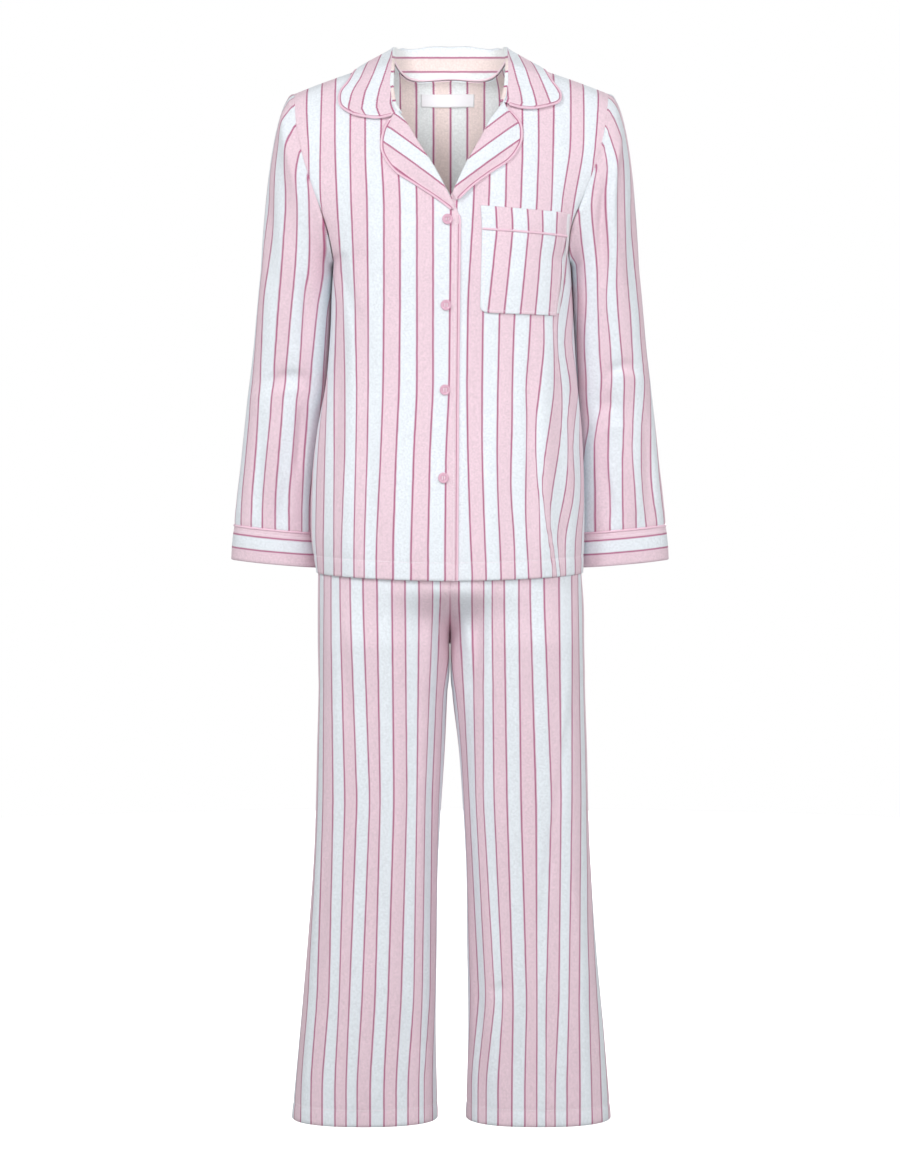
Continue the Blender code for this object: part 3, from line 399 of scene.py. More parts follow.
# How deep every crease lies against its table, the points of its path, and how far its flanks differ.
CREASE_DEPTH, CREASE_POINTS, CREASE_LEAN = 2.1, 14, 0.22
SHIRT_CREASES = (
    Crease(-1, ((-178, -196), (-160, -222), (-138, -262), (-126, -318)), 6, -2.6),
    Crease(-1, ((-166, -190), (-146, -214), (-122, -246)), 6, 2.2),
    Crease(-1, ((-150, -262), (-136, -300), (-130, -350), (-132, -420)), 7, 2.2),
    Crease(-1, ((-152, -330), (-148, -392), (-150, -462), (-156, -540)), 6, -2.4),
    Crease(-1, ((-104, -470), (-108, -540), (-106, -640)), 9, -1.8),
    Crease(-1, ((-84, -390), (-88, -480), (-92, -560)), 10, 1.6),
    Crease(-1, ((-40, -520), (-44, -580), (-42, -645)), 11, 1.5),
    Crease(-1, ((-76, -166), (-52, -174), (-22, -182)), 5, -1.6),
    Crease(-1, ((158, -152), (150, -190), (148, -240)), 6, -2.4),
    Crease(-1, ((166, -150), (160, -200), (157, -262), (150, -330)), 5, 2.0),
    Crease(-1, ((108, -345), (104, -420), (108, -520), (112, -600)), 8, -2.2),
    Crease(-1, ((60, -430), (54, -520), (56, -640)), 12, 1.7),
    Crease(-1, ((30, -330), (34, -420), (30, -500)), 9, -1.3),
    Crease(-1, ((20, -214), (24, -280), (21, -330)), 6, -1.1),
    Crease(-1, ((150, -20), (158, -70), (160, -128)), 8, -1.8),
    Crease(-1, ((-150, -30), (-160, -80), (-164, -130)), 8, -1.8),
    Crease(-1, ((-120, 0), (-112, -60), (-114, -120)), 12, 1.4),
    Crease(1, ((-150, -210), (-128, -250), (-100, -292), (-60, -318)), 8, -2.4),
    Crease(1, ((-156, -236), (-130, -284), (-108, -340)), 7, 2.0),
    Crease(1, ((150, -206), (126, -240), (94, -276), (50, -296)), 8, -2.4),
    Crease(1, ((154, -240), (130, -300), (118, -380)), 8, 2.0),
    Crease(1, ((-60, -40), (-40, -90), (-34, -160)), 14, 1.6),
    Crease(1, ((52, -46), (44, -110), (46, -170)), 14, 1.6),
    Crease(1, ((-76, -420), (-80, -520), (-72, -640)), 12, -2.0),
    Crease(1, ((24, -420), (30, -520), (26, -640)), 11, 2.0),
    Crease(1, ((116, -420), (110, -520), (114, -640)), 10, -2.2),
    Crease(1, ((-20, -330), (30, -344), (72, -336)), 8, -1.6),
    Crease(1, ((-90, -366), (-40, -376), (10, -368)), 9, 1.4),
)


class SleeveSection(NamedTuple):
    """A section of a sleeve: height, outer side, half depth, middle of the depth, and its tilt."""

    z: float
    outer: float
    depth: float
    y: float
    rise: float


SLEEVE = (
    SleeveSection(-240, 254.0, 58, 8, 0.0),
    SleeveSection(-300, 260.0, 54, 12, 2.0),
    SleeveSection(-350, 265.0, 51, 17, 3.0),
    SleeveSection(-403, 271.5, 48, 22, 4.0),
    SleeveSection(-457, 278.0, 45, 26, 5.0),
    SleeveSection(-511, 284.0, 43, 30, 5.5),
    SleeveSection(-565, 290.5, 41, 33, 5.5),
    SleeveSection(-592, 293.5, 40, 35, 5.5),
    SleeveSection(-640, 298.0, 40, 37, 5.5),
)


class SleeveFold(NamedTuple):
    """A fold of a sleeve, by its turn round the sleeve and its height."""

    side: float
    turn: float
    z: float
    turn_width: float
    z_width: float
    height: float


SLEEVE_FOLDS = (
    SleeveFold(-1, 118, -150, 20, 70, 4.0),
    SleeveFold(-1, 95, -395, 30, 18, -4.5),
    SleeveFold(-1, 128, -455, 18, 45, -3.5),
    SleeveFold(-1, 40, -420, 26, 22, 2.5),
    SleeveFold(-1, -90, -380, 40, 20, -3.5),
    SleeveFold(1, 112, -150, 18, 70, 3.5),
    SleeveFold(1, 120, -415, 26, 17, -5.0),
    SleeveFold(1, 85, -450, 24, 24, -3.0),
    SleeveFold(1, 50, -385, 26, 22, 2.5),
    SleeveFold(1, -90, -400, 40, 20, -3.5),
)
SLEEVE_CREASES_RIGHT = (
    Crease(-1, ((-214, 8), (-200, -50), (-184, -108), (-172, -160)), 7, -3.4),
    Crease(-1, ((-226, -20), (-214, -80), (-200, -140), (-186, -215)), 9, 3.2),
    Crease(-1, ((-246, -120), (-240, -200), (-238, -280)), 9, -2.0),
    Crease(-1, ((-196, -230), (-190, -290), (-194, -345)), 6, -3.0),
    Crease(-1, ((-184, -392), (-206, -384), (-232, -388), (-254, -398)), 8, -1.5),
    Crease(-1, ((-190, -408), (-214, -404), (-240, -414)), 8, 1.1),
    Crease(-1, ((-200, -424), (-202, -470), (-206, -520)), 5, -3.2),
    Crease(-1, ((-222, -430), (-232, -490), (-240, -560)), 8, 2.4),
    Crease(-1, ((-252, -440), (-258, -500), (-262, -585)), 7, -2.0),
    Crease(-1, ((-216, -520), (-222, -556), (-224, -590)), 6, -2.2),
    Crease(1, ((-220, 0), (-206, -70), (-186, -150)), 8, -3.0),
    Crease(1, ((-236, -60), (-226, -150), (-218, -240)), 10, 2.6),
    Crease(1, ((-190, -360), (-220, -372), (-256, -362)), 7, -2.1),
    Crease(1, ((-196, -392), (-226, -400), (-258, -392)), 7, 1.6),
    Crease(1, ((-240, -420), (-250, -500), (-256, -580)), 8, -2.4),
    Crease(1, ((-212, -430), (-220, -510), (-226, -580)), 8, 2.2),
)
SLEEVE_CREASES_LEFT = (
    Crease(-1, ((216, 8), (206, -48), (192, -100), (176, -150)), 7, -3.2),
    Crease(-1, ((226, -60), (216, -120), (214, -180), (222, -250)), 7, 3.4),
    Crease(-1, ((206, -120), (200, -190), (204, -270)), 6, -3.4),
    Crease(-1, ((246, -140), (244, -220), (248, -300)), 8, -2.0),
    Crease(-1, ((184, -470), (192, -440), (208, -424), (234, -428)), 8, -1.8),
    Crease(-1, ((190, -488), (204, -462), (226, -452), (252, -462)), 8, 1.3),
    Crease(-1, ((206, -400), (214, -380), (236, -372), (256, -380)), 7, -2.4),
    Crease(-1, ((204, -500), (212, -540), (216, -590)), 6, -3.0),
    Crease(-1, ((236, -480), (246, -530), (250, -588)), 8, 2.4),
    Crease(-1, ((262, -440), (268, -510), (272, -585)), 7, -1.8),
    Crease(1, ((222, 0), (208, -70), (188, -150)), 8, -3.0),
    Crease(1, ((238, -60), (230, -150), (222, -240)), 10, 2.6),
    Crease(1, ((194, -376), (224, -388), (258, -380)), 7, -2.1),
    Crease(1, ((200, -410), (230, -418), (262, -408)), 7, 1.6),
    Crease(1, ((244, -430), (254, -510), (260, -585)), 8, -2.4),
)
CUFF_SEAM, CUFF_END = -592.0, -637.5
# How the sleeve's head leaves the armhole and runs into the sleeve.
CAP_REACH, CAP_DROP = 82.0, 30.0
CAP_LEAVE, CAP_ARRIVE, CAP_LEAN = 6.0, 8.0, 0.05
SLEEVE_CLEARANCE = 0.9
SLEEVE_LOWEST = -640.0


class Station(NamedTuple):
    """A station of the collar: its foot, its stand and the lean of its fold, and the edge of its fall.

    The foot is given by its height at the front stations, and by its distance from the middle at the others.
    """

    foot_right: float
    foot_left: float
    stand: float
    lean_x: float
    lean_y: float
    edge_x: float
    edge_right: float
    edge_left: float
    dip: float


COLLAR = (
    Station(-41.5, -27, 4.0, -1.0, -1.0, 130, -38.5, -28.5, 7.5),
    Station(-22, -13, 7.0, -1.0, -1.0, 142.5, -29.0, -23.5, 5.0),
    Station(-4, 1, 10.0, -0.5, -1.0, 143.5, -12.5, -12.0, 1.0),
    Station(16, 18, 13.5, 0.0, 0.0, 133, 2.0, 3.0, 0.5),
    Station(76.9, 76.9, 16.5, 1.0, 1.0, 121, 22.0, 22.0, 0.0),
    Station(74, 74, 22.8, 0.0, 0.5, 117, 8.0, 8.0, -2.5),
    Station(62, 62, 37.0, -2.0, -1.5, 101, -2.0, -2.0, -4.0),
    Station(32, 32, 44.0, 0.0, -3.0, 56, -12.0, -12.0, -4.0),
    Station(0, 0, 42.0, 0.0, -3.0, 0, -14.0, -14.0, -4.0),
)
LAST_FRONT_STATION, RIDGE_STATION = 3, 4
COLLAR_FOLD, FOLD_DROP = 2.6, 2.2
STAND_MIDDLE, STAND_BULGE, STAND_INSET = 0.55, 1.4, 0.9


class LapelRow(NamedTuple):
    """The fold and the outer edge of a lapel, as seen from the front."""

    fold_x: float
    fold_z: float
    edge_x: float
    edge_z: float


LAPEL_RIGHT = (
    LapelRow(-71.5, -34.5, -76.5, -47), LapelRow(-62.5, -46, -84.5, -62), LapelRow(-53.5, -59, -88, -79),
    LapelRow(-43.5, -76.5, -85.5, -95), LapelRow(-32.5, -94, -70.5, -116.5),
    LapelRow(-21, -112, -45.5, -133.5), LapelRow(-10, -132, -20.5, -150),
    LapelRow(0, -151.5, -2, -163.5), LapelRow(5.5, -162.5, 3.5, -168.5),
)
LAPEL_LEFT = (
    LapelRow(70, -26, 75, -34.5), LapelRow(61, -38, 89.5, -52), LapelRow(52, -50.5, 92.5, -66),
    LapelRow(44.5, -66.5, 90, -82), LapelRow(33.5, -86, 76.5, -101.5), LapelRow(22, -106.5, 53.5, -117.5),
    LapelRow(12, -127, 30, -135), LapelRow(6.5, -139, 16, -148), LapelRow(3.5, -148, 8.5, -156),
)


class Span(NamedTuple):
    """A line across the pocket: its left and right ends."""

    x_left: float
    z_left: float
    x_right: float
    z_right: float


POCKET_TOP = Span(40.5, -164.0, 154.0, -171.0)
POCKET_BAND = Span(42.0, -194.0, 152.0, -200.5)
POCKET_LOW = Span(39.5, -303.0, 139.0, -305.5)


class Spot(NamedTuple):
    """The middle of a button, seen from the front."""

    x: float
    z: float


BUTTONS = (Spot(-3.3, -181.5), Spot(-5.2, -293.0), Spot(-6.5, -403.5), Spot(-8.5, -518.5))


class HipSection(NamedTuple):
    """A section round both hips."""

    z: float
    right: float
    left: float
    front: float
    back: float


class LegSection(NamedTuple):
    """A section round both legs."""

    z: float
    right_outer: float
    right_inner: float
    left_outer: float
    left_inner: float
    front: float
    back: float


HIPS = (
    HipSection(-470, 147.0, 147.0, 101, 97),
    HipSection(-530, 164.0, 164.0, 109, 105),
    HipSection(-590, 174.5, 173.5, 114, 110),
    HipSection(-648, 177.6, 177.1, 115, 112),
    HipSection(-700, 178.4, 180.6, 113, 112),
    HipSection(-750, 178.6, 181.6, 108, 109),
)
LEGS = (
    LegSection(-640, 178.0, 0.4, 180.5, 0.4, 108, 112),
    LegSection(-740, 178.4, 0.4, 181.1, 0.4, 98, 101),
    LegSection(-784, 177.8, 0.5, 182.2, 0.5, 91.5, 94),
    LegSection(-808, 177.6, 3.4, 182.6, 2.7, 88, 91),
    LegSection(-890, 179.9, 7.0, 185.4, 12.0, 80, 82),
    LegSection(-971, 182.0, 12.2, 187.5, 17.6, 74, 75),
    LegSection(-1053, 186.0, 16.3, 191.4, 21.7, 70, 70),
    LegSection(-1163, 194.4, 17.7, 199.2, 23.1, 67, 66),
    LegSection(-1273, 204.3, 19.1, 209.5, 24.5, 66, 64),
    LegSection(-1391, 215.5, 16.5, 219.2, 21.5, 66, 64),
)
TROUSER_TOP, TROUSER_HEM = -470.0, -1391.0
CROTCH_START, CROTCH_END = -662.0, -748.0
LEG_POWER = 2.3
LEG_FOLDS = (
    Fold(-1, -30, -700, -34, -1120, 9, 3.5),
    Fold(-1, -48, -740, -54, -1010, 9, -3.0),
    Fold(-1, 34, -690, 26, -820, 9, -4.5),
    Fold(-1, 165, -720, 118, -1240, 10, 3.5),
    Fold(-1, 142, -840, 132, -1180, 12, -3.5),
    Fold(-1, 50, -1060, 62, -1370, 10, 3.0),
    Fold(1, -100, -700, -118, -1250, 16, 4.0),
    Fold(1, 96, -720, 112, -1280, 16, 4.0),
    Fold(1, -55, -760, -45, -1000, 13, -3.5),
    Fold(1, 52, -780, 48, -1020, 13, -3.5),
)
LEG_CREASES = (
    Crease(-1, ((-4, -678), (-13, -694), (-12, -716), (-7, -740), (-10, -790)), 5, -5.0),
    Crease(-1, ((-20, -684), (-26, -730), (-22, -800)), 6, 3.0),
    Crease(-1, ((8, -690), (22, -730), (32, -790)), 6, 2.2),
    Crease(-1, ((46, -672), (40, -730), (30, -812)), 6, -3.2),
    Crease(-1, ((60, -690), (52, -760), (44, -850)), 8, 2.0),
    Crease(-1, ((-150, -700), (-140, -780), (-138, -860)), 8, -2.0),
    Crease(-1, ((-120, -840), (-124, -940), (-136, -1060)), 10, 1.8),
    Crease(-1, ((-20, -830), (-26, -930), (-28, -1060), (-22, -1180)), 6, -2.8),
    Crease(-1, ((-66, -880), (-70, -990), (-72, -1120)), 9, 1.8),
    Crease(-1, ((-160, -980), (-170, -1090), (-180, -1240)), 8, -2.2),
    Crease(-1, ((-110, -1150), (-116, -1260), (-118, -1386)), 10, 2.0),
    Crease(-1, ((-60, -1180), (-58, -1280), (-54, -1386)), 7, -2.0),
    Crease(-1, ((166, -790), (150, -900), (128, -1060), (116, -1200)), 6, -2.6),
    Crease(-1, ((28, -1000), (32, -1080), (38, -1200), (44, -1380)), 6, -2.8),
    Crease(-1, ((62, -900), (66, -1000), (70, -1100)), 9, 1.8),
    Crease(-1, ((50, -1200), (60, -1206), (78, -1202)), 7, -1.2),
    Crease(-1, ((160, -1010), (172, -1120), (184, -1260)), 8, 2.0),
    Crease(-1, ((100, -1200), (96, -1300), (98, -1386)), 9, -2.0),
    Crease(-1, ((186, -1200), (194, -1300), (200, -1386)), 7, -1.8),
    Crease(-1, ((-190, -1240), (-196, -1310), (-200, -1386)), 7, 1.6),
    Crease(1, ((-10, -690), (-34, -740), (-64, -800)), 9, -3.0),
    Crease(1, ((10, -690), (36, -744), (66, -806)), 9, -3.0),
    Crease(1, ((-140, -760), (-136, -880), (-146, -1000)), 10, 2.0),
    Crease(1, ((140, -770), (138, -890), (148, -1010)), 10, 2.0),
    Crease(1, ((-84, -1020), (-92, -1150), (-96, -1330)), 10, -2.4),
    Crease(1, ((88, -1040), (96, -1170), (100, -1350)), 10, -2.4),
    Crease(1, ((-40, -1080), (-46, -1200), (-44, -1340)), 9, 2.0),
    Crease(1, ((44, -1090), (52, -1210), (54, -1350)), 9, 2.0),
    Crease(1, ((-160, -1120), (-172, -1240), (-184, -1380)), 9, -2.0),
    Crease(1, ((164, -1130), (178, -1250), (190, -1380)), 9, -2.0),
)
WAISTBAND_TOP, WAISTBAND_LOW = -432.0, -469.6
WAISTBAND_GATHERS = 24
CURVE_STEPS = 12


# -------------------- small helpers


def hermite(t: Array, start: Array, leave: Array, end: Array, arrive: Array) -> Array:
    """A point between two others, on the curve that leaves the first and arrives at the second as given.

    Args:
        t: How far on, from 0 to 1.
        start: The first point.
        leave: The slope there.
        end: The second point.
        arrive: The slope there.

    Returns:
        The point.
    """
    return (
        (2 * t**3 - 3 * t**2 + 1) * start + (t**3 - 2 * t**2 + t) * leave
        + (3 * t**2 - 2 * t**3) * end + (t**3 - t**2) * arrive
    )


def between_rows(values: Array, place: Array) -> Array:
    """Rows of numbers at places between rows, on a curve that passes through every row.

    Args:
        values: The rows.
        place: Places counted in rows, of any shape.

    Returns:
        The numbers, in the places' shape and then one for each column.
    """
    place = np.clip(np.asarray(place, float), 0.0, len(values) - 1.0)
    low = np.minimum(place.astype(int), len(values) - 2)
    more = np.concatenate([2 * values[:1] - values[1:2], values, 2 * values[-1:] - values[-2:-1]])
    before, start, end, after = (more[low + step] for step in range(4))
    return hermite((place - low)[..., None], start, (end - before) / 2, end, (after - start) / 2)


def row_at(table: Sequence[NamedTuple], place: Array) -> NamedTuple:
    """One row of a table at places between its rows; its columns are arrays of the places' shape."""
    return type(table[0])(*np.moveaxis(between_rows(np.asarray(table, float), place), -1, 0))


def place_at(table: Sequence[NamedTuple], z: Array) -> Array:
    """The places between a table's rows where the height is z."""
    heights = [-row.z for row in table]
    return np.interp(-np.asarray(z, float), heights, range(len(heights)))


def line_x(line: Sequence[Edge], z: Array) -> Array:
    """The x of an upright line at heights z."""
    rows = sorted(line)
    return np.interp(z, [row.z for row in rows], [row.x for row in rows])


def lengths(points: Array, axis: int = 0) -> Array:
    """The distance along lines of points, at each of their points.

    Args:
        points: One line, or a grid of points.
        axis: The axis along which the lines run.

    Returns:
        The distances, from 0 at the start of each line.
    """
    run = np.cumsum(np.linalg.norm(np.diff(points, axis=axis), axis=-1), axis=axis)
    return np.pad(run, [(int(number == axis), 0) for number in range(run.ndim)])


def spaced(points: Array, cells: int) -> Array:
    """A line of points laid out again at even steps.

    Args:
        points: The line.
        cells: The number of steps.

    Returns:
        The new points.
    """
    run = lengths(points)
    want = np.linspace(0, run[-1], cells + 1)
    return np.stack([np.interp(want, run, column) for column in points.T], axis=1)


def curve_through(points: Array, count: int) -> Array:
    """That many points at even steps on a smooth curve through the given points."""
    points = np.asarray(points, float)
    return spaced(between_rows(points, np.linspace(0, len(points) - 1, CURVE_STEPS * len(points))), count - 1)


def ease(t: Array) -> Array:
    """0 to 1, with no slope at either end."""
    t = np.clip(t, 0.0, 1.0)
    return t * t * (3 - 2 * t)


def bell(value: Array, middle: float, width: float) -> Array:
    """A soft hump: 1 at the middle, and fallen to about a third at the width on either side."""
    return np.exp(-(((value - middle) / width) ** 2))


def unit(vectors: Array) -> Array:
    """Vectors made one long."""
    return vectors / np.maximum(np.linalg.norm(vectors, axis=-1, keepdims=True), TINY)


def fold_height(folds: Sequence[Fold], face: Face, x: Array, z: Array) -> Array:
    """How far the large folds push a panel outwards at points seen from the front.

    Args:
        folds: The folds, on both faces.
        face: The face that the points lie on.
        x: Where the points are across.
        z: Their heights.

    Returns:
        The height of the cloth over its smooth form, at each point.
    """
    height = np.zeros(np.broadcast(x, z).shape)
    for fold in folds:
        if fold.face != face.value:
            continue
        run_x, run_z = fold.x_low - fold.x_top, fold.z_low - fold.z_top
        length = math.hypot(run_x, run_z)
        along = ((x - fold.x_top) * run_x + (z - fold.z_top) * run_z) / length**2
        across = ((x - fold.x_top) * run_z - (z - fold.z_top) * run_x) / length
        fade = bell(np.clip(np.abs(along - 0.5) - FOLD_FULL, 0, None), 0, FOLD_FADE)
        height = height + fold.height * fade * bell(across, 0, fold.width)
    return height


def crease_height(creases: Sequence[Crease], face: Face, x: Array, z: Array) -> Array:
    """How far the small creases push a panel outwards. One flank of each is a little steeper than the other.

    Args:
        creases: The creases, on both faces.
        face: The face that the points lie on.
        x: Where the points are across.
        z: Their heights.

    Returns:
        The height of the cloth over its smooth form, at each point.
    """
    x, z = np.broadcast_arrays(np.asarray(x, float), np.asarray(z, float))
    height = np.zeros(x.shape)
    for number, crease in enumerate(creases):
        if crease.face != face.value:
            continue
        path = curve_through(crease.path, CREASE_POINTS)
        margin = 3 * crease.width
        low, high = path.min(axis=0) - margin, path.max(axis=0) + margin
        near = (x > low[0]) & (x < high[0]) & (z > low[1]) & (z < high[1])
        if not near.any():
            continue
        px, pz = x[near], z[near]
        best = np.full(px.shape, np.inf)
        along = np.zeros(px.shape)
        side = np.zeros(px.shape)
        for k in range(len(path) - 1):
            step = path[k + 1] - path[k]
            size = step @ step
            t = np.clip(((px - path[k, 0]) * step[0] + (pz - path[k, 1]) * step[1]) / size, 0, 1)
            dx, dz = px - path[k, 0] - t * step[0], pz - path[k, 1] - t * step[1]
            gap = np.hypot(dx, dz)
            closer = gap < best
            best = np.where(closer, gap, best)
            along = np.where(closer, (k + t) / (len(path) - 1), along)
            side = np.where(closer, np.sign(dx * step[1] - dz * step[0]), side)
        lean = CREASE_LEAN if number % 2 else -CREASE_LEAN
        width = crease.width * (0.75 + 0.5 * along) * (1 + lean * np.tanh(side * best / crease.width))
        swell = np.sin(math.pi * np.clip(along, 0.02, 0.98)) ** 0.6
        height[near] += CREASE_DEPTH * crease.height * swell * bell(best, 0, width)
    return height


def column_lengths(grid: Array) -> Array:
    """How far each point of a grid lies up its column, measured along the cloth from the lowest row."""
    run = lengths(grid)
    return run[-1] - run if grid[0, :, 2].mean() > grid[-1, :, 2].mean() else run


def grid_normals(grid: Array, closed: bool = False) -> Array:
    """The normals of a grid of points, as the cross product of the steps along its rows and down its columns.

    Args:
        grid: The points, rows by columns.
        closed: Whether the last column repeats the first.

    Returns:
        The normals, rows by columns.
    """
    if closed:
        wide = np.concatenate([grid[:, -2:-1], grid, grid[:, 1:2]], axis=1)
        across = (wide[:, 2:] - wide[:, :-2]) / 2
    else:
        across = np.gradient(grid, axis=1)
    return unit(np.cross(across, np.gradient(grid, axis=0)))


def outward_normals(grid: Array, cores: Array, closed: bool = False) -> Array:
    """The normals of a grid, turned away from a core point for each row.

    Args:
        grid: The points, rows by columns.
        cores: A point inside the garment for each row.
        closed: Whether the last column repeats the first.

    Returns:
        The normals, rows by columns.
    """
    normals = grid_normals(grid, closed)
    away = ((grid - cores[:, None, :]) * normals).sum()
    return normals if away > 0 else -normals


def upright_cores(grid: Array, x: float = 0.0) -> Array:
    """A core line straight up through a piece."""
    return np.stack([np.full(len(grid), x), np.zeros(len(grid)), grid[:, :, 2].mean(axis=1)], axis=1)


def inset(grid: Array, edge: str, distance: float) -> None:
    """Moves one edge of a grid inwards along the cloth.

    Args:
        grid: The points, changed in place.
        edge: row or column, then low or high, such as row_high.
        distance: How far the edge moves.
    """
    side, end = edge.split("_")
    rim, inner = (0, 1) if end == "low" else (-1, -2)
    lines = grid if side == "row" else grid.transpose(1, 0, 2)
    lines[rim] += unit(lines[inner] - lines[rim]) * distance


def beside(edge: Array, inner: Array, distance: float) -> Array:
    """A line beside an edge of a piece, that far out from it in the cloth's own plane.

    Args:
        edge: The points of the edge.
        inner: A point of the piece for each of them, further in.
        distance: How far out the line lies, or below zero how far in.

    Returns:
        The line.
    """
    along = unit(np.gradient(edge, axis=0))
    out = edge - inner
    return edge + unit(out - (out * along).sum(axis=1, keepdims=True) * along) * distance


# -------------------- finishes


class Board:
    """A material's nodes, with short ways to add and join them."""

    def __init__(self, name: str) -> None:
        """Starts a material with a Principled shader.

        Args:
            name: The material's name.
        """
        self.material = bpy.data.materials.new(name)
        self.material.use_nodes = True
        self.tree = self.material.node_tree
        self.shader = self.tree.nodes["Principled BSDF"]

    def add(self, kind: str, inputs: dict[str | int, object]) -> Node:
        """Adds a node.

        Args:
            kind: The node's type.
            inputs: Its inputs by name or number, each a value or the socket that it is joined to.

        Returns:
            The node.
        """
        node = self.tree.nodes.new(kind)
        self.feed(node, inputs)
        return node

    def feed(self, node: Node, inputs: dict[str | int, object]) -> None:
        """Sets a node's inputs.

        Args:
            node: The node.
            inputs: The inputs by name or number, each a value or the socket that it is joined to.
        """
        for key, value in inputs.items():
            if isinstance(value, Socket):
                self.tree.links.new(value, node.inputs[key])
            else:
                node.inputs[key].default_value = value

    def math(self, operation: str, *values: float | Socket) -> Socket:
        """The result of a Math node, whose values are numbers or sockets.

        Args:
            operation: The node's operation.
            *values: Its inputs, each a number or a socket.

        Returns:
            The result.
        """
        node = self.add("ShaderNodeMath", dict(enumerate(values)))
        node.operation = operation
        return node.outputs[0]

    def mix(self, share: float | Socket, first: object, second: object, blend: str = "MIX") -> Socket:
        """The colour of a Mix node.

        Args:
            share: How much of the second colour shows.
            first: A colour or a socket.
            second: A colour or a socket.
            blend: How the two are put together.

        Returns:
            The colour's socket.
        """
        node = self.tree.nodes.new("ShaderNodeMix")
        node.data_type, node.blend_type = "RGBA", blend
        self.feed(node, {0: share, 6: first, 7: second})
        return node.outputs[2]

    def noise(self, vector: Socket, scale: float, detail: float = 2.0) -> Socket:
        """The factor of a Noise node."""
        return self.add("ShaderNodeTexNoise", {"Vector": vector, "Scale": scale, "Detail": detail}).outputs[0]

    def bump(self, height: Socket, strength: float, distance: float) -> None:
        """Joins a height to the shader as a bump."""
        node = self.add("ShaderNodeBump", {"Height": height, "Strength": strength, "Distance": distance})
        self.feed(self.shader, {"Normal": node.outputs[0]})


def linear(red: int, green: int, blue: int) -> Colour:
    """A colour of the shader from a colour as a screen shows it."""
    parts = [c / 255 for c in (red, green, blue)]
    return (*[p / 12.92 if p <= 0.04045 else ((p + 0.055) / 1.055) ** 2.4 for p in parts], 1.0)


